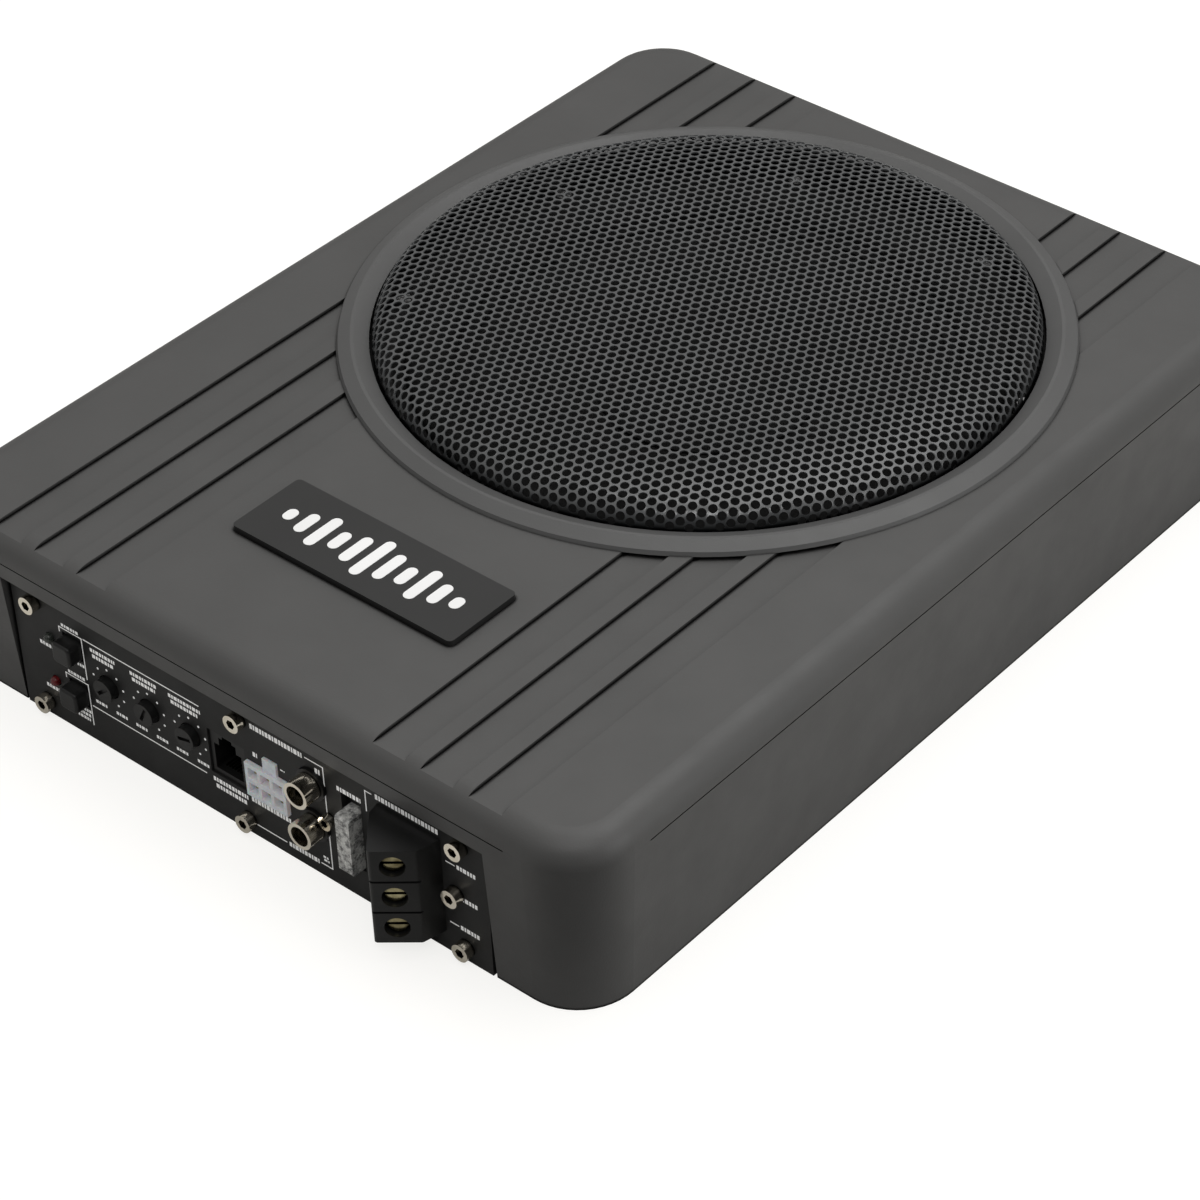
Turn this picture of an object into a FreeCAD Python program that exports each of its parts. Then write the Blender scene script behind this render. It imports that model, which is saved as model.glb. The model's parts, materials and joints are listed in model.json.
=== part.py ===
"""Powered under-seat car subwoofer, as separate named pieces.

Millimetres. The origin is the centre of the underside of the bottom plate, +Z is up and the
front panel with the controls and sockets faces -Y. The driver points up under a domed grille.
"""
import math
import os

import FreeCAD, Part
import Sketcher

V = FreeCAD.Vector
doc = FreeCAD.newDocument("subwoofer")
sheet = doc.addObject("Spreadsheet::Sheet", "Dims")

DIMENSIONS = {
    # enclosure
    "case_width": 244.0,
    "case_length": 318.6,
    "case_height": 59.5,
    "crease_drop": 8.5,
    "edge_round": 8.2,
    "corner_round": 20.0,
    "wall_draft": 3.0,
    "roof_thickness": 4.0,
    "cavity_inset": 7.5,
    "groove_height": 0.4,
    "groove_depth": 0.35,
    "plate_thickness": 2.0,
    "plate_inset": 6.0,
    # shallow channels along the roof
    "channel_start": 48.8,
    "channel_width": 11.2,
    "channel_pitch": 16.35,
    "channel_depth": 1.2,
    # driver and grille
    "driver_offset": 38.2,
    "bezel_outer": 108.0,
    "bezel_inner": 98.4,
    "bezel_rise": 3.0,
    "well_radius": 101.5,
    "well_wall": 5.5,
    "ledge_drop": 12.0,
    "ledge_thickness": 3.5,
    "ledge_inner": 88.0,
    "grille_radius": 97.6,
    "grille_bend": 7.0,
    "grille_shoulder": 7.2,
    "grille_fold_radius": 69.0,
    "grille_fold_rise": 9.5,
    "grille_rise": 10.2,
    "grille_sheet": 1.0,
    "magnet_radius": 60.0,
    "pole_radius": 24.0,
    "coil_radius": 25.0,
    "cone_radius": 74.0,
    "cap_radius": 33.0,
    # front panel
    "seat_half_width": 88.4,
    "panel_half_width": 87.4,
    "panel_height": 45.5,
    "panel_front": 156.6,
    "panel_thickness": 2.0,
    "panel_gap": 0.3,
    "window_left": 76.5,
    "window_right": 73.0,
    "window_bottom": 8.0,
    "window_top": 38.5,
    "screw_across": 78.5,
    "screw_low": 5.0,
    "screw_high": 40.5,
    "control_board_gap": 13.6,
    "knob_first": -51.5,
    "knob_pitch": 15.7,
    "knob_height": 24.0,
    "knob_radius": 3.5,
    "knob_proud": 2.5,
    "button_across": -64.4,
    "button_low": 15.0,
    "button_high": 31.4,
    "button_size": 7.0,
    "button_proud": 4.8,
    "led_across": -73.7,
    "led_low": 14.7,
    "led_high": 30.2,
    "jack_across": 26.0,
    "jack_low": 18.1,
    "jack_high": 32.4,
    "jack_barrel": 4.15,
    "jack_wall": 1.1,
    "jack_proud": 6.4,
    "fuse_across": 40.0,
    "fuse_middle": 21.0,
    "fuse_proud": 4.0,
    "terminal_low": 7.0,
    "terminal_high": 39.0,
    "terminal_angle": 39.0,
    "terminal_corner_round": 1.0,
    "badge_length": 80.2,
    "badge_width": 26.2,
    "badge_thickness": 1.8,
    "badge_offset": 103.4,
    # boards
    "board_low": 4.6,
    "board_thickness": 1.6,
    # bracket holes
    "bracket_across": 104.0,
    "bracket_along": 138.0,
    "bracket_hole": 2.1,
}


class Size:
    """A length that carries its value and the sheet expression that it comes from."""

    def __init__(self, value, text):
        self.value = value
        self.text = text

    def __add__(self, other):
        other = size(other)
        return Size(self.value + other.value, f"({self.text} + {other.text})")

    def __sub__(self, other):
        other = size(other)
        return Size(self.value - other.value, f"({self.text} - {other.text})")

    def __mul__(self, number):
        return Size(self.value * number, f"({self.text} * {number})")

    def __truediv__(self, number):
        return Size(self.value / number, f"({self.text} / {number})")

    def __neg__(self):
        return Size(-self.value, f"(-{self.text})")

    def __radd__(self, other):
        return size(other) + self

    def __rsub__(self, other):
        return size(other) - self


def size(thing):
    """A Size from a Size or a plain number."""
    if isinstance(thing, Size):
        return thing
    return Size(float(thing), f"({float(thing)})")


def fill_sheet():
    for row, (name, value) in enumerate(DIMENSIONS.items(), start=1):
        sheet.set(f"A{row}", name)
        sheet.set(f"B{row}", str(value))
        sheet.setAlias(f"B{row}", name)
    doc.recompute()


def dim(name):
    return Size(DIMENSIONS[name], f"Dims.{name}")


pieces = []


def piece(obj, label):
    """Marks an object as one finished sub-part of the assembly."""
    obj.Label = label
    pieces.append(obj)
    return obj


# ---------------------------------------------------------------- helpers: placing and solids

UP = FreeCAD.Rotation()
FRONTWARD = FreeCAD.Rotation(V(1, 0, 0), 90)
BACKWARD = FreeCAD.Rotation(V(1, 0, 0), -90)


def place(obj, x=0, y=0, z=0, rotation=UP):
    spot = [size(x), size(y), size(z)]
    obj.Placement = FreeCAD.Placement(V(*[one.value for one in spot]), rotation)
    for axis, one in zip("xyz", spot):
        obj.setExpression(f"Placement.Base.{axis}", one.text)
    return obj


def block(name, across, along, upward):
    """A box from its low and high coordinate on each axis."""
    obj = doc.addObject("Part::Box", name)
    for prop, (low, high) in zip(("Length", "Width", "Height"), (across, along, upward)):
        obj.setExpression(prop, (size(high) - low).text)
    return place(obj, across[0], along[0], upward[0])


def taper(name, low_radius, high_radius, length, x, y, z):
    """An upright cone frustum that stands on its low face."""
    obj = doc.addObject("Part::Cone", name)
    for prop, value in (("Radius1", low_radius), ("Radius2", high_radius), ("Height", length)):
        obj.setExpression(prop, size(value).text)
    return place(obj, x, y, z)


def rod(name, radius, length, x=0, y=0, z=0, rotation=UP):
    obj = doc.addObject("Part::Cylinder", name)
    obj.setExpression("Radius", size(radius).text)
    obj.setExpression("Height", size(length).text)
    return place(obj, x, y, z, rotation)


def ball(name, radius, x, y, z):
    obj = doc.addObject("Part::Sphere", name)
    obj.setExpression("Radius", size(radius).text)
    return place(obj, x, y, z)


def cut(name, base, *tools):
    tool = tools[0] if len(tools) == 1 else fuse(name + "_tools", *tools)
    obj = doc.addObject("Part::Cut", name)
    obj.Base = base
    obj.Tool = tool
    return obj


def fuse(name, *solids):
    obj = doc.addObject("Part::MultiFuse", name)
    obj.Shapes = list(solids)
    return obj


def group(name, solids):
    obj = doc.addObject("Part::Compound", name)
    obj.Links = list(solids)
    return obj


def rounded(name, solid, radius, keep):
    """Fillets the edges of a solid that keep(edge) chooses."""
    doc.recompute()
    obj = doc.addObject("Part::Fillet", name)
    obj.Base = solid
    chosen = [i for i, edge in enumerate(solid.Shape.Edges, start=1) if keep(edge)]
    obj.Edges = [(i, radius, radius) for i in chosen]
    return obj


def runs_along(direction):
    """Chooses straight edges along one direction."""
    def test(edge):
        line = edge.Vertexes[-1].Point - edge.Vertexes[0].Point
        return line.Length > 0.01 and abs(abs(line.normalize().dot(direction)) - 1) < 1e-6
    return test


# ---------------------------------------------------------------- helpers: sketched bodies

def new_body(name):
    return doc.addObject("PartDesign::Body", name)


def new_sketch(body, name, plane, height=0):
    sketch = body.newObject("Sketcher::SketchObject", name)
    origin = [o for o in body.Origin.OriginFeatures if o.Role == plane][0]
    sketch.AttachmentSupport = (origin, "")
    sketch.MapMode = "FlatFace"
    height = size(height)
    sketch.AttachmentOffset = FreeCAD.Placement(V(0, 0, height.value), FreeCAD.Rotation())
    sketch.setExpression("AttachmentOffset.Base.z", height.text)
    return sketch


def bound_constraint(sketch, kind, *where):
    """Adds a dimension whose value follows the sheet."""
    *geometry, length = where
    index = sketch.addConstraint(Sketcher.Constraint(kind, *geometry, length.value))
    sketch.setExpression(f"Constraints[{index}]", length.text)


def fix_point(sketch, index, point, x, y):
    """Ties a point to the sketch's origin; a zero distance becomes a point on the axis."""
    for kind, axis, distance in (("DistanceX", -2, x), ("DistanceY", -1, y)):
        if abs(distance.value) < 1e-9:
            sketch.addConstraint(Sketcher.Constraint("PointOnObject", index, point, axis))
        else:
            bound_constraint(sketch, kind, -1, 1, index, point, distance)


def arc_between(start, end, radius):
    """The shorter arc from start to end: anticlockwise for a positive radius."""
    chord = end - start
    left = V(-chord.y, chord.x, 0).normalize()
    rise = math.sqrt(max(radius * radius - chord.Length ** 2 / 4, 0))
    centre = start + chord * 0.5 + left * math.copysign(rise, radius)
    first, last = (start, end) if radius > 0 else (end, start)
    turn = [math.atan2(p.y - centre.y, p.x - centre.x) for p in (first, last)]
    if turn[1] < turn[0]:
        turn[1] += 2 * math.pi
    return Part.ArcOfCircle(Part.Circle(centre, V(0, 0, 1), abs(radius)), *turn)


def outline(sketch, corners):
    """Closes an outline. A corner is (x, y), or (x, y, radius) where an arc leads to the next."""
    corners = [tuple(size(v) for v in corner) for corner in corners]
    points = [V(c[0].value, c[1].value, 0) for c in corners]
    ends = []
    for i, corner in enumerate(corners):
        start = points[i]
        end = points[(i + 1) % len(points)]
        if len(corner) == 3:
            index = sketch.addGeometry(arc_between(start, end, corner[2].value), False)
            ends.append((index, 1, 2) if corner[2].value > 0 else (index, 2, 1))
        else:
            index = sketch.addGeometry(Part.LineSegment(start, end), False)
            ends.append((index, 1, 2))
    for (index, _, tail), (following, head, _) in zip(ends, ends[1:] + ends[:1]):
        sketch.addConstraint(Sketcher.Constraint("Coincident", index, tail, following, head))
    for (index, head, _), corner in zip(ends, corners):
        fix_point(sketch, index, head, corner[0], corner[1])
        if len(corner) == 3:
            radius = corner[2] if corner[2].value > 0 else -corner[2]
            bound_constraint(sketch, "Radius", index, radius)


def circle(sketch, x, y, radius):
    x, y, radius = size(x), size(y), size(radius)
    shape = Part.Circle(V(x.value, y.value, 0), V(0, 0, 1), radius.value)
    index = sketch.addGeometry(shape, False)
    fix_point(sketch, index, 3, x, y)
    bound_constraint(sketch, "Radius", index, radius)


def rounded_rectangle(half_x, half_y, radius, middle_x=0, middle_y=0):
    """Corners of a rounded rectangle, anticlockwise, with quarter arcs."""
    right = middle_x + size(half_x)
    left = middle_x - size(half_x)
    back = middle_y + size(half_y)
    front = middle_y - size(half_y)
    r = size(radius)
    return [
        (left + r, front), (right - r, front, r), (right, front + r), (right, back - r, r),
        (right - r, back), (left + r, back, r), (left, back - r), (left, front + r, r),
    ]


def pad(body, sketch, length, name, reverse=False):
    feature = body.newObject("PartDesign::Pad", name)
    feature.Profile = sketch
    feature.setExpression("Length", size(length).text)
    feature.Reversed = reverse
    body.Tip = feature
    return feature


def pocket(body, sketch, length, name, reverse=False):
    """Cuts a pocket and makes sure that it took material away."""
    doc.recompute()
    before = body.Shape.Volume
    feature = body.newObject("PartDesign::Pocket", name)
    feature.Profile = sketch
    feature.setExpression("Length", size(length).text)
    feature.Reversed = reverse
    body.Tip = feature
    doc.recompute()
    if body.Shape.Volume >= before - 0.01:
        raise RuntimeError(f"{name} cuts nothing")
    return feature


def turned(label, corners, middle=0):
    """A solid of revolution about a vertical axis, from its (radius, height) outline."""
    body = new_body(label)
    sketch = new_sketch(body, label + "_profile", "XZ_Plane")
    outline(sketch, corners)
    feature = body.newObject("PartDesign::Revolution", label + "_turn")
    feature.Profile = sketch
    feature.ReferenceAxis = (sketch, ["V_Axis"])
    feature.Angle = 360
    body.Tip = feature
    return place(body, 0, middle, 0)


# ---------------------------------------------------------------- shared levels

fill_sheet()

ROOF = dim("case_height")
CREASE = ROOF - dim("crease_drop")
CEILING = ROOF - dim("roof_thickness")
HALF_X = dim("case_width") / 2
HALF_Y = dim("case_length") / 2
PANEL_FRONT = -dim("panel_front")
PANEL_BACK = PANEL_FRONT + dim("panel_thickness")
INNER_FRONT = PANEL_BACK + 3.5
BOARD_FACE = PANEL_FRONT + dim("control_board_gap")
LEDGE = ROOF - dim("ledge_drop")
DRIVER = dim("driver_offset")
BOARD_TOP = dim("board_low") + dim("board_thickness")
KNOBS = [dim("knob_first") + dim("knob_pitch") * i for i in range(3)]
BUTTON_LEVELS = [dim("button_high"), dim("button_low")]
JACK_LEVELS = [dim("jack_high"), dim("jack_low")]
LED_LEVELS = [dim("led_high"), dim("led_low")]
PANEL_SCREWS = [
    (-dim("screw_across"), dim("screw_high")), (dim("screw_across"), dim("screw_high")),
    (-dim("screw_across"), dim("screw_low")), (dim("screw_across"), dim("screw_low")),
    (size(0), dim("screw_high")), (size(0), dim("screw_low")), (size(76.0), size(22.7)),
]
PLATE_SCREWS = [(side * 111.0, y) for side in (-1, 1) for y in (-118.0, -40.0, 38.2, 118.0)]
BRACKETS = [(dim("bracket_across") * a, dim("bracket_along") * b) for a in (-1, 1) for b in (-1, 1)]
FLANGE_SCREW_RADIUS = 95.2
JACK_SCREW = (31.6, 22.9)
STANDOFFS = [(side * 84.0, y) for side in (-1, 1) for y in (-138.0, -72.0)]


# ---------------------------------------------------------------- enclosure

def enclosure_shell():
    """Die-cast shell: drafted walls below a parting crease and a rounded roof above it."""
    body = new_body("enclosure_shell")
    inset = dim("wall_draft")
    foot_print = new_sketch(body, "shell_base", "XY_Plane")
    outline(foot_print, rounded_rectangle(HALF_X - inset, HALF_Y - inset, dim("corner_round") - 2))
    waist = new_sketch(body, "shell_waist", "XY_Plane", CREASE)
    outline(waist, rounded_rectangle(HALF_X, HALF_Y, dim("corner_round")))
    walls = body.newObject("PartDesign::AdditiveLoft", "shell_walls")
    walls.Profile = foot_print
    walls.Sections = [waist]
    walls.Ruled = True
    top = new_sketch(body, "shell_roof_outline", "XY_Plane", CREASE)
    outline(top, rounded_rectangle(HALF_X, HALF_Y, dim("corner_round")))
    roof = pad(body, top, dim("crease_drop"), "shell_roof")
    doc.recompute()
    rim = [
        f"Edge{i}" for i, edge in enumerate(roof.Shape.Edges, start=1)
        if all(abs(v.Z - ROOF.value) < 0.01 for v in edge.Vertexes)
    ]
    soft = body.newObject("PartDesign::Fillet", "shell_edge_round")
    soft.Base = (roof, rim)
    soft.setExpression("Radius", dim("edge_round").text)
    body.Tip = soft

    room = new_sketch(body, "shell_room_outline", "XY_Plane")
    inner_x = HALF_X - dim("cavity_inset")
    inner_back = HALF_Y - dim("cavity_inset")
    half_y = (inner_back - INNER_FRONT) / 2
    outline(room, rounded_rectangle(inner_x, half_y, 12, 0, (inner_back + INNER_FRONT) / 2))
    pocket(body, room, CEILING, "shell_room", reverse=True)

    rebate = new_sketch(body, "shell_rebate_outline", "XY_Plane")
    outline(rebate, rounded_rectangle(
        HALF_X - dim("plate_inset"), HALF_Y - dim("plate_inset"), 15))
    pocket(body, rebate, dim("plate_thickness"), "shell_rebate", reverse=True)

    add_well_and_bosses(body)
    cut_parting_groove(body)
    cut_roof_channels(body)
    cut_panel_seat(body)
    return piece(body, "enclosure_shell")


def add_well_and_bosses(body):
    """The ring that carries the driver, and the screw bosses under the bottom plate."""
    floor = LEDGE - dim("ledge_thickness")
    ring = new_sketch(body, "well_ring_outline", "XY_Plane", floor)
    circle(ring, 0, DRIVER, dim("well_radius") + dim("well_wall"))
    circle(ring, 0, DRIVER, dim("ledge_inner"))
    pad(body, ring, CEILING - floor + 0.5, "well_ring")
    bosses = new_sketch(body, "boss_outline", "XY_Plane", dim("plate_thickness"))
    for x, y in PLATE_SCREWS:
        circle(bosses, x, y, 4.0)
    pad(body, bosses, CEILING - dim("plate_thickness") + 0.5, "screw_bosses")
    posts = new_sketch(body, "bracket_post_outline", "XY_Plane", dim("plate_thickness"))
    for x, y in BRACKETS:
        circle(posts, x, y, 7.0)
    pad(body, posts, CEILING - dim("plate_thickness") + 0.5, "bracket_posts")
    well = new_sketch(body, "well_outline", "XY_Plane", ROOF)
    circle(well, 0, DRIVER, dim("well_radius"))
    pocket(body, well, dim("ledge_drop"), "well")
    drill = new_sketch(body, "boss_drill", "XY_Plane", dim("plate_thickness"))
    for x, y in PLATE_SCREWS:
        circle(drill, x, y, 1.25)
    pocket(body, drill, 10, "boss_holes", reverse=True)
    tapped = new_sketch(body, "bracket_drill", "XY_Plane", dim("plate_thickness"))
    for x, y in BRACKETS:
        circle(tapped, x, y, dim("bracket_hole"))
    pocket(body, tapped, 14, "bracket_holes", reverse=True)
    ledge_drill = new_sketch(body, "ledge_drill", "XY_Plane", LEDGE)
    for x, y in around(FLANGE_SCREW_RADIUS, 8, 22.5):
        circle(ledge_drill, x, DRIVER + y, 1.6)
    pocket(body, ledge_drill, dim("ledge_thickness") + 1, "ledge_holes")
    peg_drill = new_sketch(body, "peg_drill", "XY_Plane", ROOF)
    for x, y in around(104.8, 6, 0):
        circle(peg_drill, x, DRIVER + y, 1.3)
    pocket(body, peg_drill, 5, "peg_holes")


def around(radius, count, first):
    """Points evenly spaced on a circle."""
    turns = [math.radians(first + 360.0 * i / count) for i in range(count)]
    return [(round(radius * math.cos(a), 4), round(radius * math.sin(a), 4)) for a in turns]


def cut_parting_groove(body):
    """Fine groove along the straight stretches of the crease."""
    lines = new_sketch(body, "groove_outline", "XY_Plane", CREASE - dim("groove_height") / 2)
    across = HALF_X - dim("corner_round") - 6
    along = HALF_Y - dim("corner_round") - 6
    for side in (-1, 1):
        edge = (HALF_X - dim("groove_depth")) * side
        beyond = (HALF_X + 1) * side
        outline(lines, [(edge, -along), (beyond, -along), (beyond, along), (edge, along)])
        edge = (HALF_Y - dim("groove_depth")) * side
        beyond = (HALF_Y + 1) * side
        outline(lines, [(-across, edge), (across, edge), (across, beyond), (-across, beyond)])
    pocket(body, lines, dim("groove_height"), "parting_groove", reverse=True)


def cut_roof_channels(body):
    """Three wide flat channels on each side, which run out through the rounded ends."""
    lines = new_sketch(body, "channel_outline", "XY_Plane", ROOF)
    for i in range(3):
        near = dim("channel_start") + dim("channel_pitch") * i
        far = near + dim("channel_width")
        for low, high in ((near, far), (-far, -near)):
            outline(lines, [(low, -HALF_Y - 1), (high, -HALF_Y - 1), (high, HALF_Y + 1), (low, HALF_Y + 1)])
    pocket(body, lines, dim("channel_depth"), "roof_channels")


def cut_panel_seat(body):
    """The upright seat for the front panel, with a window behind it and its screw holes."""
    half = dim("seat_half_width")
    seat = new_sketch(body, "seat_outline", "XZ_Plane", -PANEL_BACK)
    outline(seat, [(-half, -1), (half, -1), (half, dim("panel_height")), (-half, dim("panel_height"))])
    pocket(body, seat, 20, "panel_seat", reverse=True)
    window = new_sketch(body, "window_outline", "XZ_Plane", -PANEL_BACK)
    outline(window, [
        (-dim("window_left"), dim("window_bottom")), (dim("window_right"), dim("window_bottom")),
        (dim("window_right"), dim("window_top")), (-dim("window_left"), dim("window_top")),
    ])
    pocket(body, window, 8, "panel_window")
    holes = new_sketch(body, "panel_hole_drill", "XZ_Plane", -PANEL_BACK)
    for x, z in PANEL_SCREWS:
        circle(holes, x, z, 1.25)
    pocket(body, holes, 3.2, "panel_holes")


def bottom_plate():
    """Steel closing plate, let into the rebate of the shell."""
    body = new_body("plate_blank")
    shape = new_sketch(body, "plate_outline", "XY_Plane")
    inset = dim("plate_inset") + 0.3
    outline(shape, rounded_rectangle(HALF_X - inset, HALF_Y - inset, 14.7))
    pad(body, shape, dim("plate_thickness"), "plate_sheet")
    drill = new_sketch(body, "plate_drill", "XY_Plane")
    for x, y in PLATE_SCREWS:
        circle(drill, x, y, 1.7)
    for x, y in BRACKETS:
        circle(drill, x, y, 3.0)
    for x, y in STANDOFFS:
        circle(drill, x, y, 1.6)
    pocket(body, drill, dim("plate_thickness") + 1, "plate_holes", reverse=True)
    sinks = [taper(f"plate_sink_{i}", 3.0, 1.7, 1.4, x, y, 0) for i, (x, y) in enumerate(PLATE_SCREWS)]
    return piece(cut("bottom_plate", body, *sinks), "bottom_plate")


def bottom_plate_screws():
    """Countersunk screws that finish just inside the face of the plate."""
    solids = []
    for i, (x, y) in enumerate(PLATE_SCREWS):
        head = taper(f"plate_screw_head_{i}", 2.8, 1.2, 1.6, x, y, 0.15)
        shank = rod(f"plate_screw_shank_{i}", 1.2, 8.2, x, y, 1.0)
        drive = rod(f"plate_screw_drive_{i}", 1.1, 0.95, x, y, -0.1)
        solids.append(cut(f"plate_screw_{i}", fuse(f"plate_screw_blank_{i}", head, shank), drive))
    return piece(group("bottom_plate_screws", solids), "bottom_plate_screws")


def badge_plate():
    """Blank raised plate with rounded corners, glued to the roof in front of the driver."""
    body = new_body("badge_plate")
    shape = new_sketch(body, "badge_outline", "XY_Plane", ROOF)
    outline(shape, rounded_rectangle(
        dim("badge_length") / 2, dim("badge_width") / 2, 1.5, 0, -dim("badge_offset")))
    pad(body, shape, dim("badge_thickness"), "badge_sheet")
    return piece(body, "badge_plate")


# ---------------------------------------------------------------- grille and bezel

def bezel_ring():
    """Trim ring with an outer chamfer, a crest and an inner slope, held by pegs."""
    outer = dim("bezel_outer")
    inner = dim("bezel_inner")
    crest = ROOF + dim("bezel_rise")
    ring = turned("bezel_ring_body", [
        (inner, ROOF - 0.9), (dim("well_radius") - 0.3, ROOF - 0.9), (dim("well_radius") - 0.3, ROOF),
        (outer, ROOF), (outer - 0.6, ROOF + 1.2), (outer - 4.2, crest), (outer - 5.2, crest),
        (inner, ROOF + 0.9),
    ], DRIVER)
    pegs = [
        rod(f"bezel_peg_{i}", 1.2, 5.0, x, DRIVER + y, ROOF - 4.5)
        for i, (x, y) in enumerate(around(104.8, 6, 0))
    ]
    return piece(fuse("bezel_ring", ring, *pegs), "bezel_ring")


def grille():
    """Domed steel grille: a flat flange, a bent shoulder, a sloped band and a nearly flat crown."""
    rim = dim("grille_radius")
    thick = dim("grille_sheet")
    bend = dim("grille_bend")
    fold = dim("grille_fold_radius")
    low = ROOF - 2.2
    shoulder_level = ROOF + dim("grille_shoulder")
    fold_level = ROOF + dim("grille_fold_rise")
    crown = ROOF + dim("grille_rise")
    flange = dim("well_radius") - 0.5
    profile = [
        (flange, low), (flange, low + thick), (rim, low + thick), (rim, shoulder_level - bend, bend),
        (rim - bend, shoulder_level, 120.0), (fold, fold_level, 3200.0), (2, crown), (0, crown),
        (0, crown - thick), (2, crown - thick, -3199.0), (fold, fold_level - thick, -119.0),
        (rim - bend, shoulder_level - thick, thick - bend), (rim - thick, shoulder_level - bend),
        (rim - thick, low),
    ]
    return piece(turned("grille", profile, DRIVER), "grille")


def trim_spacer():
    """Plastic ring that stands on the edge of the driver and carries the grille flange."""
    outer = dim("well_radius") - 0.4
    return piece(turned("trim_spacer", [
        (outer - 2.7, LEDGE + 1.5), (outer, LEDGE + 1.5), (outer, ROOF - 2.2), (outer - 2.7, ROOF - 2.2),
    ], DRIVER), "trim_spacer")


# ---------------------------------------------------------------- driver

BASKET_TOP = LEDGE + 1.5
BASKET_FLOOR = size(20.5)
SPIDER_SHELF = size(26.5)
CONE_NECK = size(34.0)
CONE_EDGE = LEDGE - 0.6


def speaker_basket():
    """Pressed steel basket with windows in its wall and a step for the spider."""
    wall = turned("basket_blank", [
        (54.0, BASKET_FLOOR), (63.5, BASKET_FLOOR), (86.8, LEDGE), (100.6, LEDGE),
        (100.6, BASKET_TOP), (85.6, BASKET_TOP), (62.4, BASKET_FLOOR + 1.5),
        (62.4, SPIDER_SHELF), (57.0, SPIDER_SHELF), (57.0, BASKET_FLOOR + 1.5),
        (30.0, BASKET_FLOOR + 1.5), (30.0, BASKET_FLOOR),
    ], DRIVER)
    windows = []
    for i in range(8):
        turn = 22.5 + 45.0 * i
        slot = block(f"basket_window_{i}", (0, 26), (0, 24), (29.5, 43))
        corner = FreeCAD.Rotation(V(0, 0, 1), turn).multVec(V(66, -12, 0))
        place(slot, corner.x, DRIVER + corner.y, 29.5, FreeCAD.Rotation(V(0, 0, 1), turn))
        windows.append(slot)
    drill = [
        rod(f"basket_hole_{i}", 2.0, 4, x, DRIVER + y, LEDGE - 1)
        for i, (x, y) in enumerate(around(FLANGE_SCREW_RADIUS, 8, 22.5))
    ]
    piece(cut("speaker_basket", wall, *windows, *drill), "speaker_basket")
    tab = block("terminal_tab_blank", (-9, 9), (-39.5, -30), (25, 33))
    piece(cut("speaker_terminal", tab, wall), "speaker_terminal")


def moving_driver_parts():
    """Cone, dust cap and voice coil, which travel together, and their two suspensions."""
    rim = dim("cone_radius")
    coil = dim("coil_radius")
    cap = dim("cap_radius")
    piece(turned("cone", [
        (coil, CONE_NECK - 0.4), (coil + 2, CONE_NECK - 0.4), (rim - 5, CONE_EDGE - 1.4),
        (rim, CONE_EDGE - 1.4), (rim, CONE_EDGE), (rim - 5, CONE_EDGE), (coil, CONE_NECK + 1.2),
    ], DRIVER), "cone")
    piece(turned("dust_cap", [
        (cap, CONE_NECK + 3.4), (cap, CONE_NECK + 4.2, 93.8), (1, CONE_NECK + 10.2),
        (0, CONE_NECK + 10.2), (0, CONE_NECK + 9.4), (1, CONE_NECK + 9.4, -88.2),
        (cap - 0.8, CONE_NECK + 3.4),
    ], DRIVER), "dust_cap")
    piece(turned("coil_former", [
        (coil - 0.5, 12), (coil, 12), (coil, CONE_NECK + 2), (coil - 0.5, CONE_NECK + 2),
    ], DRIVER), "coil_former")
    piece(turned("voice_coil", [
        (coil, 13), (coil + 0.7, 13), (coil + 0.7, 23.5), (coil, 23.5),
    ], DRIVER), "voice_coil")
    piece(turned("surround", [
        (rim - 4, CONE_EDGE), (rim + 1, CONE_EDGE, -7.2), (rim + 14, BASKET_TOP),
        (rim + 18.2, BASKET_TOP), (rim + 18.2, BASKET_TOP + 1), (rim + 15, BASKET_TOP + 1, 8.2),
        (rim, CONE_EDGE + 1), (rim - 4, CONE_EDGE + 1),
    ], DRIVER), "surround")
    piece(turned("spider", spider_outline(coil, 0) + spider_outline(coil, 0.8)[::-1], DRIVER), "spider")


def spider_outline(coil, lift):
    """One face of the pleated spider, from the shelf of the basket in to the coil former."""
    waves = [(61.5, 0), (57.0, 0), (51.5, 3.4), (46.5, 1.4), (41.5, 4.6), (36.5, 2.8), (31.5, 5.8)]
    levels = [(size(r), SPIDER_SHELF + rise + lift) for r, rise in waves]
    return levels + [(coil + 2, SPIDER_SHELF + 5.0 + lift), (coil, SPIDER_SHELF + 5.8 + lift)]


def motor():
    """Ferrite ring between a top plate and a back plate with its pole."""
    pole = dim("pole_radius")
    ring = dim("magnet_radius")
    piece(turned("magnet", [(33, 6), (ring, 6), (ring, 15), (33, 15)], DRIVER), "magnet")
    piece(turned("top_plate", [
        (pole + 2.2, 15), (ring - 6, 15), (ring - 6, BASKET_FLOOR), (pole + 2.2, BASKET_FLOOR),
    ], DRIVER), "top_plate")
    piece(turned("back_plate", [
        (8, 2.2), (ring - 4, 2.2), (ring - 4, 6), (pole, 6), (pole, BASKET_FLOOR), (8, BASKET_FLOOR),
    ], DRIVER), "back_plate")


def speaker_screws():
    solids = []
    for i, (x, y) in enumerate(around(FLANGE_SCREW_RADIUS, 8, 22.5)):
        head = rod(f"flange_screw_head_{i}", 2.6, 2.2, x, DRIVER + y, BASKET_TOP)
        shank = rod(f"flange_screw_shank_{i}", 1.5, 6.4, x, DRIVER + y, BASKET_TOP - 6.2)
        drive = rod(f"flange_screw_drive_{i}", 1.2, 1.4, x, DRIVER + y, BASKET_TOP + 1.2)
        solids.append(cut(f"flange_screw_{i}", fuse(f"flange_screw_blank_{i}", head, shank), drive))
    return piece(group("speaker_screws", solids), "speaker_screws")


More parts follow.
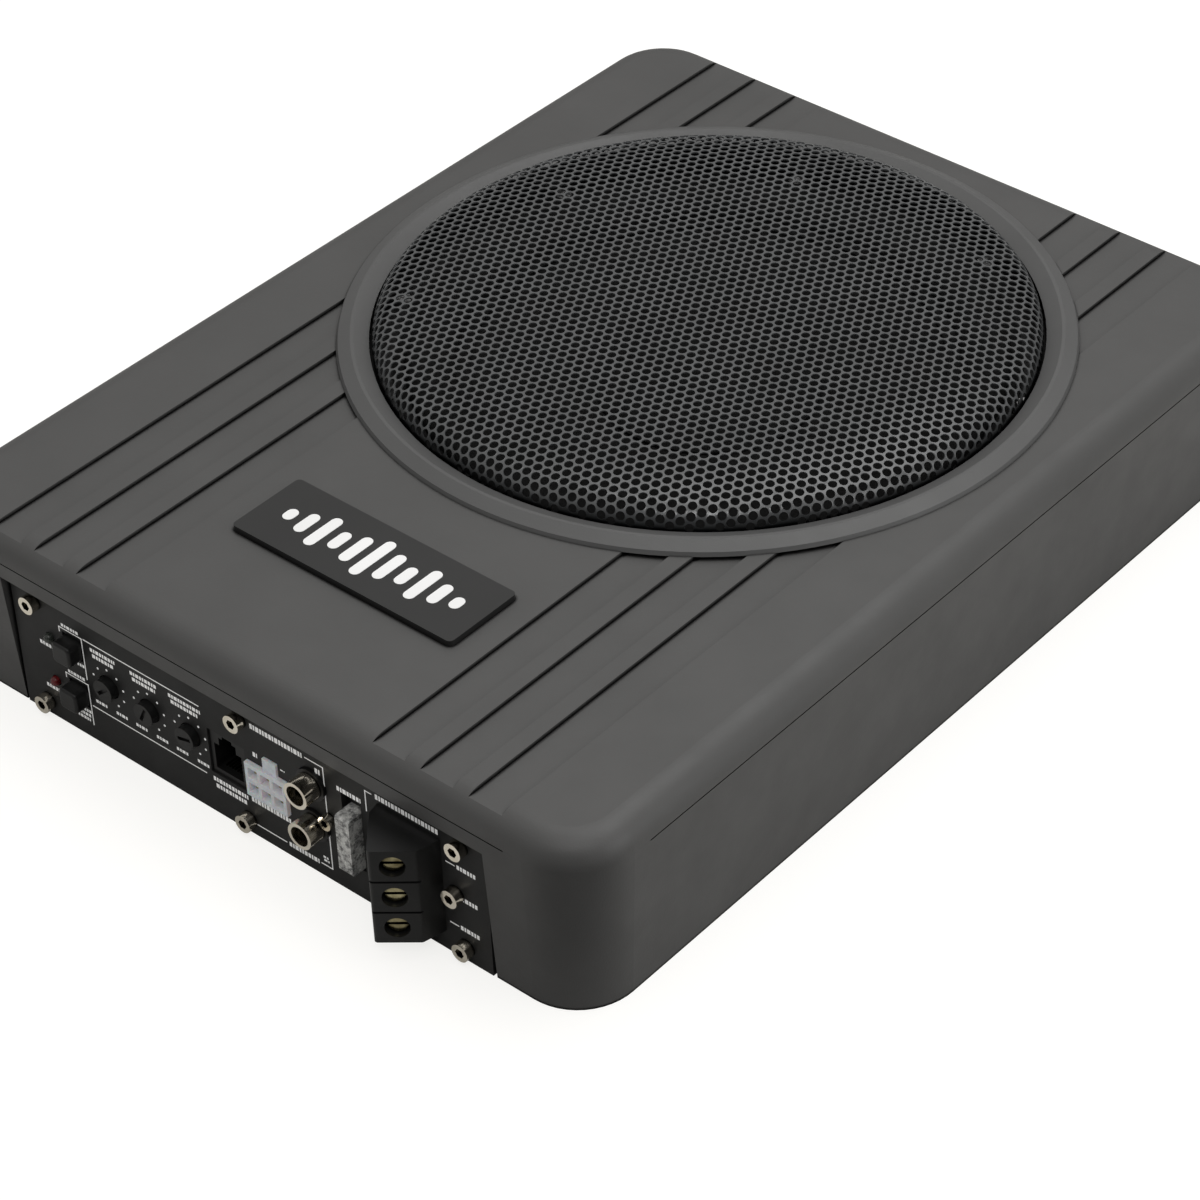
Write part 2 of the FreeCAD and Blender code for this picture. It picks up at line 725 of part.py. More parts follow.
def round_wire(name, radius, route):
    """A wire along straight runs joined by tangent arcs, through a hand-picked route."""
    route = [V(*point) for point in route]
    edges = []
    here = route[0]
    for before, corner, after in zip(route, route[1:], route[2:]):
        back = (before - corner)
        ahead = (after - corner)
        turn = math.pi - back.getAngle(ahead)
        reach = 0.45 * min(back.Length, ahead.Length)
        start = corner + V(back).normalize() * reach
        end = corner + V(ahead).normalize() * reach
        inward = (V(back).normalize() + V(ahead).normalize()).normalize()
        bend = reach / math.tan(turn / 2)
        centre = corner + inward * (reach / math.cos((math.pi - turn) / 2))
        middle = centre - inward * bend
        edges.append(Part.LineSegment(here, start).toShape())
        edges.append(Part.Arc(start, middle, end).toShape())
        here = end
        print(name, "bend radius", round(bend, 1))
    edges.append(Part.LineSegment(here, route[-1]).toShape())
    path = Part.Wire(edges)
    ring = Part.Wire([Part.Circle(route[0], route[1] - route[0], radius).toShape()])
    solid = path.makePipeShell([ring], True, False)
    print(name, "volume ratio", round(solid.Volume / (math.pi * radius ** 2 * path.Length), 3))
    return solid


def speaker_leads():
    """Two insulated leads from the main board up to the tab on the basket."""
    top = BOARD_TOP.value
    solids = [
        round_wire(f"lead_{i}", 0.9, [(x, -66, top), (x, -66, 17), (x, -54, 27), (x, -39.5, 29)])
        for i, x in enumerate((-4.5, 4.5))
    ]
    leads = doc.addObject("Part::Feature", "speaker_leads")
    leads.Shape = Part.Compound(solids)
    leads.Placement = FreeCAD.Placement()
    return piece(leads, "speaker_leads")


# ---------------------------------------------------------------- front panel

def panel_opening(name, across, upward):
    return block(name, across, (PANEL_FRONT - 1, PANEL_BACK + 1), upward)


def panel_drill(name, radius, x, z):
    return rod(name, radius, 4, x, PANEL_BACK + 1, z, FRONTWARD)


def front_panel():
    """Sheet panel with an opening for every control and socket."""
    half = dim("panel_half_width")
    top = dim("panel_height") - dim("panel_gap")
    blank = block("panel_blank", (-half, half), (PANEL_FRONT, PANEL_BACK), (0.2, top))
    tools = [panel_drill(f"panel_screw_hole_{i}", 1.7, x, z) for i, (x, z) in enumerate(PANEL_SCREWS)]
    tools += [panel_drill(f"led_hole_{i}", 1.7, dim("led_across"), z) for i, z in enumerate(LED_LEVELS)]
    tools += [panel_drill(f"knob_hole_{i}", dim("knob_radius") + 0.3, x, dim("knob_height"))
              for i, x in enumerate(KNOBS)]
    tools += [panel_drill(f"jack_hole_{i}", 5.2, dim("jack_across"), z) for i, z in enumerate(JACK_LEVELS)]
    tools.append(panel_drill("jack_screw_hole", 1.3, *JACK_SCREW))
    reach = dim("button_size") / 2 + 0.3
    middle = dim("button_across")
    for i, z in enumerate(BUTTON_LEVELS):
        upright = (z - reach, z + reach)
        tools.append(panel_opening(f"button_hole_{i}", (middle - reach, middle + reach), upright))
    tools.append(panel_opening("remote_hole", (-13.2, 0.7), (14.9, 30.3)))
    tools.append(panel_opening("input_hole", (1.3, 16.6), (15.5, 27.5)))
    tools.append(panel_opening("latch_hole", (7.8, 13.2), (27.4, 32.0)))
    tools.append(panel_opening("fuse_hole", (36.5, 43.5), (10.8, 35.4)))
    tools.append(panel_opening("terminal_hole", (50.5, 70.9), (8.7, 37.5)))
    return piece(cut("front_panel", blank, *tools), "front_panel")


def socket_screw(name, x, z, head_radius, head_height, shank_radius, reach):
    """Cap screw with a hexagon recess, driven in from the front of the panel."""
    head = rod(name + "_head", head_radius, head_height, x, PANEL_FRONT, z, FRONTWARD)
    shank = rod(name + "_shank", shank_radius, reach, x, PANEL_FRONT - 0.5, z, BACKWARD)
    recess = doc.addObject("Part::Prism", name + "_recess")
    recess.Polygon = 6
    recess.Circumradius = head_radius * 0.55
    recess.Height = 2.0
    place(recess, x, PANEL_FRONT - head_height + 1.6, z, FRONTWARD)
    return cut(name, fuse(name + "_blank", head, shank), recess)


def panel_fasteners():
    screws = [
        socket_screw(f"panel_screw_{i}", x, z, 2.75, 3.0, 1.2, 5.4) for i, (x, z) in enumerate(PANEL_SCREWS)
    ]
    piece(group("panel_screws", screws), "panel_screws")
    piece(socket_screw("jack_screw", *JACK_SCREW, 2.2, 2.4, 1.1, 9.0), "jack_screw")


def control_knob(label, index, slot_turn):
    """Small round knob with a screwdriver slot, on a stem that runs in its potentiometer."""
    x = KNOBS[index]
    z = dim("knob_height")
    face = PANEL_FRONT - dim("knob_proud")
    cap = rod(label + "_cap", dim("knob_radius"), 7.9, x, face, z, BACKWARD)
    stem = rod(label + "_stem", 2.0, 14.6, x, face, z, BACKWARD)
    slot = doc.addObject("Part::Box", label + "_slot")
    slot.Length, slot.Width, slot.Height = 5.0, 1.6, 1.1
    turn = FreeCAD.Rotation(V(0, 1, 0), -slot_turn)
    corner = turn.multVec(V(-2.5, 0, -0.55))
    place(slot, x + corner.x, face - 0.8, z + corner.z, turn)
    blank = fuse(label + "_blank", cap, stem)
    return piece(cut(label, blank, slot), label)


def potentiometers():
    solids = []
    z = dim("knob_height")
    for i, x in enumerate(KNOBS):
        case = block(f"pot_case_{i}", (x - 5, x + 5), (BOARD_FACE - 6.6, BOARD_FACE), (z - 5, z + 5))
        bore = rod(f"pot_bore_{i}", 2.06, 5.3, x, BOARD_FACE - 6.6, z, BACKWARD)
        solids.append(cut(f"potentiometer_{i}", case, bore))
    return piece(group("potentiometers", solids), "potentiometers")


def push_button(label, level):
    """Rounded square button with a square stem that enters its switch."""
    body = new_body(label)
    x = dim("button_across")
    half = dim("button_size") / 2
    face = -PANEL_FRONT + dim("button_proud")
    shape = new_sketch(body, label + "_outline", "XZ_Plane", face)
    outline(shape, rounded_rectangle(half, half, 1.6, x, level))
    cap = pad(body, shape, 11.2, label + "_cap", reverse=True)
    doc.recompute()
    front = [f"Edge{i}" for i, edge in enumerate(cap.Shape.Edges, start=1)
             if all(abs(v.Y + face.value) < 0.01 for v in edge.Vertexes)]
    soft = body.newObject("PartDesign::Fillet", label + "_front_round")
    soft.Base = (cap, front)
    soft.Radius = 0.9
    stem = new_sketch(body, label + "_stem_outline", "XZ_Plane", face - 11.2)
    outline(stem, [
        (x - 1.5, level - 1.5), (x + 1.5, level - 1.5), (x + 1.5, level + 1.5), (x - 1.5, level + 1.5),
    ])
    pad(body, stem, 3.7, label + "_stem", reverse=True)
    return piece(body, label)


def switch_bodies():
    solids = []
    x = dim("button_across")
    outer = BOARD_FACE - 4.7
    for i, z in enumerate(BUTTON_LEVELS):
        case = block(f"switch_case_{i}", (x - 4.4, x + 4.4), (outer, BOARD_FACE), (z - 4.4, z + 4.4))
        well = block(f"switch_well_{i}", (x - 1.8, x + 1.8), (outer - 0.3, outer + 3.5), (z - 1.8, z + 1.8))
        solids.append(cut(f"switch_{i}", case, well))
    return piece(group("switch_bodies", solids), "switch_bodies")


def indicator(label, z):
    """Round light with a domed lens, a base flange and two leads back to the board."""
    x = dim("led_across")
    lens = rod(label + "_lens", 1.5, 5.1, x, PANEL_FRONT + 4.6, z, FRONTWARD)
    dome = ball(label + "_dome", 1.5, x, PANEL_FRONT - 0.5, z)
    flange = rod(label + "_flange", 1.9, 1.0, x, PANEL_FRONT + 5.6, z, FRONTWARD)
    leads = [
        rod(f"{label}_lead_{i}", 0.3, 8.2, x, BOARD_FACE, z + side * 1.27, FRONTWARD)
        for i, side in enumerate((-1, 1))
    ]
    return piece(fuse(label, lens, dome, flange, *leads), label)


def remote_socket():
    """Modular socket with a keyed mouth and its row of contacts."""
    front = PANEL_FRONT + 0.6
    case = block("remote_case", (-13.0, 0.5), (front, front + 15), (15.1, 30.1))
    mouth = block("remote_mouth", (-11.6, -1.4), (front - 1, front + 13), (16.8, 25.6))
    key = block("remote_key", (-9.7, -3.3), (front - 1, front + 11), (25.5, 28.2))
    notch = block("remote_notch", (-8.3, -4.7), (front - 1, front + 9), (28.1, 29.2))
    piece(cut("remote_socket", case, mouth, key, notch), "remote_socket")
    contacts = []
    for i in range(8):
        across = (-10.1 + 1.02 * i, -9.7 + 1.02 * i)
        contacts.append(block(f"remote_contact_{i}", across, (front + 2, front + 12.5), (16.8, 17.3)))
    piece(group("remote_contacts", contacts), "remote_contacts")


def input_connector():
    """Six-way speaker-level inlet with a latch ramp, and its pins."""
    front = PANEL_FRONT - 1.2
    back = front + 14.8
    case = block("input_case", (1.5, 16.4), (front, back), (15.7, 27.3))
    latch = block("input_latch", (8.0, 13.0), (front + 0.6, front + 10), (27.3, 31.6))
    cells = []
    holes = []
    pins = []
    for row, z in enumerate((18.9, 24.1)):
        for column, x in enumerate((4.35, 8.95, 13.55)):
            number = row * 3 + column
            cell = ((x - 1.75, x + 1.75), (front - 1, front + 3.2), (z - 1.75, z + 1.75))
            across = (x - 0.55, x + 0.55)
            upward = (z - 0.55, z + 0.55)
            cells.append(block(f"input_cell_{number}", *cell))
            holes.append(block(f"input_hole_{number}", across, (front + 3, back + 1), upward))
            pins.append(block(f"input_pin_{number}", across, (front + 1.2, back), upward))
    piece(cut("input_connector", fuse("input_blank", case, latch), *cells, *holes), "input_connector")
    piece(group("input_pins", pins), "input_pins")


def phono_jacks():
    """Two-way phono jack: black body, plated barrels, insulators and centre contacts."""
    x = dim("jack_across")
    barrel = dim("jack_barrel")
    tip = PANEL_FRONT - dim("jack_proud")
    root = PANEL_FRONT + 10.6
    collar = PANEL_FRONT - 1.0
    neck = barrel - 0.15
    inside = barrel - dim("jack_wall")
    case = block("jack_case", (x - 7.5, x + 7.5), (PANEL_BACK + 0.2, PANEL_BACK + 15.6), (8.3, 38.2))
    leg = block("jack_leg", (x - 6.5, x + 6.5), (PANEL_BACK + 5, PANEL_BACK + 14), (BOARD_TOP, 8.3))
    collars = [rod(f"jack_collar_{i}", 5.0, 3.6, x, collar, z, BACKWARD)
               for i, z in enumerate(JACK_LEVELS)]
    bores = [rod(f"jack_bore_{i}", neck, 20, x, root, z, FRONTWARD) for i, z in enumerate(JACK_LEVELS)]
    pilot = rod("jack_pilot", 1.15, 10, JACK_SCREW[0], PANEL_BACK, JACK_SCREW[1], BACKWARD)
    shell = fuse("jack_blank", case, leg, *collars)
    piece(cut("jack_body", shell, *bores, pilot), "jack_body")
    barrels = []
    sleeves = []
    contacts = []
    for i, z in enumerate(JACK_LEVELS):
        skin = rod(f"barrel_skin_{i}", barrel, collar - tip, x, collar, z, FRONTWARD)
        shank = rod(f"barrel_shank_{i}", neck, root - collar, x, root, z, FRONTWARD)
        core = rod(f"barrel_core_{i}", inside, root - tip + 1, x, root, z, FRONTWARD)
        barrels.append(cut(f"jack_barrel_{i}", fuse(f"barrel_blank_{i}", skin, shank), core))
        plug = rod(f"insulator_skin_{i}", inside, 12.0, x, root, z, FRONTWARD)
        hole = rod(f"insulator_hole_{i}", 2.0, 13.0, x, root, z, FRONTWARD)
        sleeves.append(cut(f"jack_insulator_{i}", plug, hole))
        tube = rod(f"contact_skin_{i}", 2.0, 11.4, x, root, z, FRONTWARD)
        bore = rod(f"contact_bore_{i}", 1.6, 12.0, x, root, z, FRONTWARD)
        contacts.append(cut(f"jack_contact_{i}", tube, bore))
    piece(group("jack_barrels", barrels), "jack_barrels")
    piece(group("jack_insulators", sleeves), "jack_insulators")
    piece(group("jack_contacts", contacts), "jack_contacts")


def fuse_parts():
    """Blade fuse that pulls out of its holder, with the spring clips that grip it."""
    x = dim("fuse_across")
    z = dim("fuse_middle")
    face = PANEL_BACK + 0.2
    root = PANEL_FRONT + 6.6
    tip = PANEL_FRONT - dim("fuse_proud")
    blades = [(z - 7.7, z - 2.5), (z + 2.5, z + 7.7)]
    case = block("holder_case", (x - 3.8, x + 3.8), (face, face + 15.4), (z - 12.0, z + 14.5))
    seat = block("holder_seat", (x - 2.9, x + 2.9), (face - 1, root + 0.4), (z - 10.1, z + 10.1))
    slots = []
    clips = []
    prongs = []
    voids = []
    for i, (low, high) in enumerate(blades):
        slot_height = (low - 0.6, high + 0.6)
        slots.append(block(f"holder_slot_{i}", (x - 1.6, x + 1.6), (root, face + 13), slot_height))
        for side, (left, right) in enumerate(((x - 1.3, x - 0.6), (x + 0.6, x + 1.3))):
            clips.append(block(f"fuse_clip_{i}{side}", (left, right), (root + 1.2, face + 13), (low, high)))
        prongs.append(block(f"fuse_prong_{i}", (x - 0.35, x + 0.35), (tip + 3.6, root + 6.6), (low, high)))
        voids.append(block(f"fuse_void_{i}", (x - 0.35, x + 0.35), (tip + 3.6, root + 1), (low, high)))
    bridge = block("fuse_bridge", (x - 0.35, x + 0.35), (tip + 3.6, tip + 4.6), (z - 2.5, z + 2.5))
    bridge_void = block("fuse_bridge_void", (x - 0.35, x + 0.35), (tip + 3.6, tip + 4.6), (z - 2.5, z + 2.5))
    piece(cut("fuse_holder", case, seat, *slots), "fuse_holder")
    piece(group("fuse_clips", clips), "fuse_clips")
    head = block("fuse_blank", (x - 2.5, x + 2.5), (tip, root), (z - 9.7, z + 9.7))
    soft = rounded("fuse_rounded", head, 0.9, runs_along(V(1, 0, 0)))
    piece(cut("fuse_head", soft, *voids, bridge_void), "fuse_head")
    piece(fuse("fuse_blades", *prongs, bridge), "fuse_blades")


# ---------------------------------------------------------------- power terminal

TERMINAL_TURN = math.radians(DIMENSIONS["terminal_angle"])
TERMINAL_CORNER = V(60.1, -171.7, 0)
TERMINAL_FRONT_LIMIT = -162.0
SCREW_FACE_WIDTH = 12.6
SCREW_PLACE = SCREW_FACE_WIDTH / 2
TERMINAL_CELL = (dim("terminal_high") - dim("terminal_low")) / 3
CELL_LEVELS = [dim("terminal_low") + TERMINAL_CELL * (i + 0.5) for i in range(3)]
ALONG_FACE = V(math.cos(TERMINAL_TURN), math.sin(TERMINAL_TURN), 0)
INTO_FACE = V(-math.sin(TERMINAL_TURN), math.cos(TERMINAL_TURN), 0)
TERMINAL_ROTATION = FreeCAD.Rotation(V(0, 0, 1), DIMENSIONS["terminal_angle"])
ALONG_ROTATION = FreeCAD.Rotation(V(0, 0, 1), ALONG_FACE)
INTO_ROTATION = FreeCAD.Rotation(V(0, 0, 1), INTO_FACE)


def face_point(along, into):
    """A point in plan, measured along the screw face and into the block from its outer corner."""
    return TERMINAL_CORNER + ALONG_FACE * along + INTO_FACE * into


def face_rod(name, radius, along, into, z, length, rotation):
    spot = face_point(along, into)
    return rod(name, radius, length, spot.x, spot.y, z, rotation)


def face_block(name, along, into, upward):
    obj = block(name, (0, along[1] - along[0]), (0, into[1] - into[0]), upward)
    spot = face_point(along[0], into[0])
    return place(obj, spot.x, spot.y, upward[0], TERMINAL_ROTATION)


def terminal_block():
    """Three-way screw terminal: the outer corner of its turned square stands off the panel."""
    body = new_body("terminal_outer")
    shape = new_sketch(body, "terminal_outline", "XY_Plane", dim("terminal_low"))
    far = face_point(SCREW_FACE_WIDTH, 0)
    outline(shape, [
        (TERMINAL_CORNER.x, TERMINAL_CORNER.y), (far.x, far.y), (71.6, PANEL_FRONT),
        (49.8, PANEL_FRONT), (50.6, -160.4),
    ])
    pad(body, shape, dim("terminal_high") - dim("terminal_low"), "terminal_height")
    upright = runs_along(V(0, 0, 1))
    soft = rounded(
        "terminal_soft", body, DIMENSIONS["terminal_corner_round"],
        lambda edge: upright(edge) and edge.CenterOfMass.y < TERMINAL_FRONT_LIMIT)
    tail = block("terminal_tail", (50.8, 70.6), (PANEL_FRONT, PANEL_FRONT + 13.6), (9, 37.2))
    blank = fuse("terminal_blank", soft, tail)
    tools = []
    inserts = []
    for i, z in enumerate(CELL_LEVELS):
        tools.append(face_rod(f"terminal_recess_{i}", 3.4, SCREW_PLACE, -1, z, 4.4, INTO_ROTATION))
        tools.append(face_rod(f"terminal_throat_{i}", 1.9, SCREW_PLACE, 3.2, z, 1, INTO_ROTATION))
        tools.append(face_block(f"terminal_pocket_{i}", (-1, 10.2), (3.7, 10.8), (z - 3.7, z + 3.7)))
        case = face_block(f"insert_case_{i}", (2, 10), (3.9, 10.6), (z - 3.5, z + 3.5))
        wire = face_rod(f"insert_bore_{i}", 2.3, 1, 7.25, z, 8, ALONG_ROTATION)
        thread = face_rod(f"insert_thread_{i}", 1.58, SCREW_PLACE, 3.2, z, 3, INTO_ROTATION)
        inserts.append(cut(f"insert_{i}", case, wire, thread))
    for i in (1, 2):
        level = dim("terminal_low") + TERMINAL_CELL * i
        groove = face_block(f"terminal_groove_{i}", (-1, 14), (-1, 0.7), (level - 0.35, level + 0.35))
        tools.append(groove)
    piece(cut("terminal_block", blank, *tools), "terminal_block")
    piece(group("terminal_inserts", inserts), "terminal_inserts")


def terminal_screw(number):
    """Slotted clamp screw, sunk in its recess above the insert."""
    z = CELL_LEVELS[number - 1]
    name = f"terminal_screw_{number}"
    head = face_rod(name + "_head", 3.0, SCREW_PLACE, 1.7, z, 1.5, INTO_ROTATION)
    shank = face_rod(name + "_shank", 1.5, SCREW_PLACE, 3.1, z, 1.7, INTO_ROTATION)
    slot_length = (SCREW_PLACE - 3.5, SCREW_PLACE + 3.5)
    slot = face_block(name + "_slot", slot_length, (1.3, 2.4), (z - 0.45, z + 0.45))
    return piece(cut(name, fuse(name + "_blank", head, shank), slot), name)


# ---------------------------------------------------------------- boards and what stands on them

def main_board():
    low = dim("board_low")
    blank = block("main_board_blank", (-94, 94), (-150.2, -58), (low, BOARD_TOP))
    drill = [rod(f"main_board_hole_{i}", 1.7, 4, x, y, low - 1) for i, (x, y) in enumerate(STANDOFFS)]
    piece(cut("main_board", blank, *drill), "main_board")
    posts = []
    screws = []
    for i, (x, y) in enumerate(STANDOFFS):
        outer = rod(f"post_{i}", 3.0, low - dim("plate_thickness"), x, y, dim("plate_thickness"))
        inner = rod(f"post_bore_{i}", 1.3, 6, x, y, 0)
        posts.append(cut(f"standoff_{i}", outer, inner))
        head = rod(f"board_screw_head_{i}", 2.7, 1.8, x, y, BOARD_TOP)
        shank = rod(f"board_screw_shank_{i}", 1.2, 4.6, x, y, BOARD_TOP - 4.5)
        screws.append(fuse(f"board_screw_{i}", head, shank))
    piece(group("board_standoffs", posts), "board_standoffs")
    piece(group("board_screws", screws), "board_screws")


def control_board():
    """Small upright board behind the controls, soldered into the main board."""
    return piece(block("control_board", (-80, -17), (BOARD_FACE, BOARD_FACE + 1.6), (BOARD_TOP, 38)),
                 "control_board")


def board_parts():
    top = BOARD_TOP
    cans = [rod(f"capacitor_{i}", 9.0, 31, 18 + 23.0 * i, -118, top) for i in range(3)]
    piece(group("filter_capacitors", cans), "filter_capacitors")
    wound = doc.addObject("Part::Torus", "toroid_winding")
    wound.Radius1 = 14.0
    wound.Radius2 = 7.0
    place(wound, -52, -112, top + 7)
    piece(wound, "toroid_transformer")
    flanges = [rod(f"choke_flange_{i}", 9.0, 1.5, -14, -84, top + 12.5 * i) for i in range(2)]
    spool = rod("choke_spool", 7.5, 13, -14, -84, top)
    piece(fuse("output_choke", spool, *flanges), "output_choke")
    piece(block("heat_spreader", (-114.4, -106.4), (-112, -46), (8, 30)), "heat_spreader")
    transistors = []
    for i in range(4):
        y = -104.0 + 16.0 * i
        case = block(f"transistor_case_{i}", (-106.4, -101.8), (y - 5.1, y + 5.1), (8, 23))
        rows = [(y + 2.54 * n - 0.4, y + 2.54 * n + 0.4) for n in (-1, 0, 1)]
        legs = []
        tips = []
        for n, row in enumerate(rows):
            legs.append(block(f"transistor_leg_{i}{n}", (-101.8, -91.5), row, (8.4, 9.0)))
            tips.append(block(f"transistor_tip_{i}{n}", (-92.1, -91.5), row, (top, 8.5)))
        transistors.append(fuse(f"transistor_{i}", case, *legs, *tips))
    piece(group("power_transistors", transistors), "power_transistors")
    chips = [block(f"chip_{i}", (x - 8, x + 8), (-86, -76), (top, top + 2.4)) for i, x in enumerate((20, 50))]
    piece(group("circuit_chips", chips), "circuit_chips")


# ---------------------------------------------------------------- build, check and write

def build():
    enclosure_shell()
    bottom_plate()
    bottom_plate_screws()
    badge_plate()
    bezel_ring()
    grille()
    trim_spacer()
    speaker_basket()
    moving_driver_parts()
    motor()
    speaker_screws()
    speaker_leads()
    front_panel()
    panel_fasteners()
    for index, (label, turn) in enumerate((("filter_knob", 42), ("bass_knob", 64), ("level_knob", 15))):
        control_knob(label, index, turn)
    potentiometers()
    push_button("phase_button", dim("button_high"))
    push_button("mode_button", dim("button_low"))
    switch_bodies()
    indicator("power_led", dim("led_high"))
    indicator("protect_led", dim("led_low"))
    remote_socket()
    input_connector()
    phono_jacks()
    fuse_parts()
    terminal_block()
    for number in (1, 2, 3):
        terminal_screw(number)
    main_board()
    control_board()
    board_parts()


def check():
    doc.recompute()
    broken = [obj.Name for obj in doc.Objects if "Invalid" in obj.State or "Error" in obj.State]
    broken += [obj.Label for obj in pieces if obj.Shape.isNull() or not obj.Shape.isValid()]
    if broken:
        raise RuntimeError("broken objects: " + ", ".join(broken))


def write():
    os.makedirs("parts", exist_ok=True)
    for obj in pieces:
        obj.Shape.exportStep(f"parts/{obj.Label}.step")


build()
check()
write()
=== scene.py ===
"""Looks of the powered under-seat subwoofer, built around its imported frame.

Metres, +Z up; the front panel faces -Y. Pieces are placed from the boxes of the frame's nodes.
"""

import json
import math

import bmesh
import bpy
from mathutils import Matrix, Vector
from mathutils.geometry import delaunay_2d_cdt


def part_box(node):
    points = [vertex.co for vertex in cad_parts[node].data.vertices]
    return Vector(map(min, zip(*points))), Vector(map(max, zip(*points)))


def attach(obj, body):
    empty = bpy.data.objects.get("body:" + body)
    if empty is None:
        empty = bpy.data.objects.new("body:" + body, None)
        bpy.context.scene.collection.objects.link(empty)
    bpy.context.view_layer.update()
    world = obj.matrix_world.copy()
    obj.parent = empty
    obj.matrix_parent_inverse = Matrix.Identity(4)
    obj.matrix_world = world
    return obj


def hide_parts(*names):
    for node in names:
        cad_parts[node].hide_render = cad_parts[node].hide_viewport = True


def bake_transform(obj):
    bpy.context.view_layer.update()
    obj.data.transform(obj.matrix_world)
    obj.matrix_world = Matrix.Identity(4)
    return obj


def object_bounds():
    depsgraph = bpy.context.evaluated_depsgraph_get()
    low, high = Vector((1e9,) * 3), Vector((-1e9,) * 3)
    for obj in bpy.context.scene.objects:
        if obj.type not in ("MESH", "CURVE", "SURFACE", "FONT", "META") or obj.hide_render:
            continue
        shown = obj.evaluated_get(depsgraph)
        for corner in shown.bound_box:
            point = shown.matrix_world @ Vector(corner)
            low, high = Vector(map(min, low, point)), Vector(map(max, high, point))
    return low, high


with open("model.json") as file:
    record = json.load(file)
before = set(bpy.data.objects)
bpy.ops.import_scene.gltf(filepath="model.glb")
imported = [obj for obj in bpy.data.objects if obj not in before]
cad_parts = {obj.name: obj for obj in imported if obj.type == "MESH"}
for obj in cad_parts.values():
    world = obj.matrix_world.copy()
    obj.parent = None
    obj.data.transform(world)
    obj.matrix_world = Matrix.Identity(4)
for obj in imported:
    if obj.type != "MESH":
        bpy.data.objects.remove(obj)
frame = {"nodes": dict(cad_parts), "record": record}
cad_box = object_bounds()

MM = 0.001
FIXED = "enclosure"


# ---------------------------------------------------------------- camera, floor and light

def make_camera():
    data = bpy.data.cameras.new("camera")
    data.sensor_width = 36.0
    data.lens = 110.25
    data.shift_x = -0.14305
    data.shift_y = -0.0029
    camera = bpy.data.objects.new("camera", data)
    camera.location = (0.5628, -0.6377, 0.6747)
    aim = Vector((0.09224, -0.04778, 0.0595)) - camera.location
    camera.rotation_mode = "QUATERNION"
    camera.rotation_quaternion = aim.to_track_quat("-Z", "Y")
    bpy.context.scene.collection.objects.link(camera)
    bpy.context.scene.camera = camera


def soft_light(name, place, target, width, length, power):
    data = bpy.data.lights.new(name, "AREA")
    data.shape = "RECTANGLE"
    data.size = width
    data.size_y = length
    data.energy = power
    lamp = bpy.data.objects.new(name, data)
    lamp.location = place
    lamp.rotation_mode = "QUATERNION"
    lamp.rotation_quaternion = (Vector(target) - Vector(place)).to_track_quat("-Z", "Y")
    bpy.context.scene.collection.objects.link(lamp)


FLAG_SIDE = (0.62, -0.7, 0.35)
# middle of the painted shadow on the floor paper
PAINTED_SHADOW_SPOT = (0.2, -0.255, 0.0)


def make_surroundings():
    """Pale surroundings, bright overhead, dimmer low down and dark beyond the near corner."""
    world = bpy.data.worlds.new("studio")
    world.use_nodes = True
    tree = world.node_tree
    direction = add_node(tree, "ShaderNodeTexCoord").outputs["Generated"]
    upward = add_node(tree, "ShaderNodeSeparateXYZ", {0: direction}).outputs["Z"]
    surroundings = tree.nodes["Background"]
    surroundings.inputs["Color"].default_value = (1.0, 0.99, 0.965, 1.0)
    level = spread(tree, upward, 0.22, 0.85, 0.0, 1.0)
    facing = add_node(tree, "ShaderNodeVectorMath", {0: direction, 1: FLAG_SIDE}, operation="DOT_PRODUCT")
    flag = spread(tree, facing.outputs["Value"], 1.0, 0.05, 0.72, 0.95)
    flagged = add_node(tree, "ShaderNodeMath", {0: level, 1: flag}, operation="MULTIPLY").outputs[0]
    tree.links.new(flagged, surroundings.inputs["Strength"])
    bpy.context.scene.world = world
    bpy.context.scene.view_settings.view_transform = "Standard"


def floor_paper():
    """Paper that looks white to the camera and throws little light back at the object, with a painted shadow near
    the near corner that only reflections see.
    """
    paper = bpy.data.materials.new("floor_paper")
    paper.use_nodes = True
    tree = paper.node_tree
    tree.nodes.clear()
    place = add_node(tree, "ShaderNodeTexCoord").outputs["Object"]
    # painted shadow: the paper seen by the object darkens towards this spot
    far = add_node(tree, "ShaderNodeVectorMath", {0: place, 1: PAINTED_SHADOW_SPOT}, operation="DISTANCE").outputs["Value"]
    shade = tone(tree, spread(tree, far, 0.0, 1.0, 0.09, 0.15), (0.02, 0.02, 0.02), (0.62, 0.615, 0.6))
    dim = add_node(tree, "ShaderNodeBsdfDiffuse", {"Color": shade}).outputs[0]
    matt = add_node(tree, "ShaderNodeBsdfDiffuse", {"Color": (0.3, 0.3, 0.3, 1.0)}).outputs[0]
    glow = add_node(tree, "ShaderNodeEmission", {"Color": (1.0, 0.992, 0.97, 1.0), "Strength": 0.8}).outputs[0]
    white = add_node(tree, "ShaderNodeAddShader", {0: matt, 1: glow}).outputs[0]
    seen = add_node(tree, "ShaderNodeLightPath").outputs["Is Camera Ray"]
    both = add_node(tree, "ShaderNodeMixShader", {0: seen, 1: dim, 2: white}).outputs[0]
    add_node(tree, "ShaderNodeOutputMaterial", {"Surface": both})
    return paper


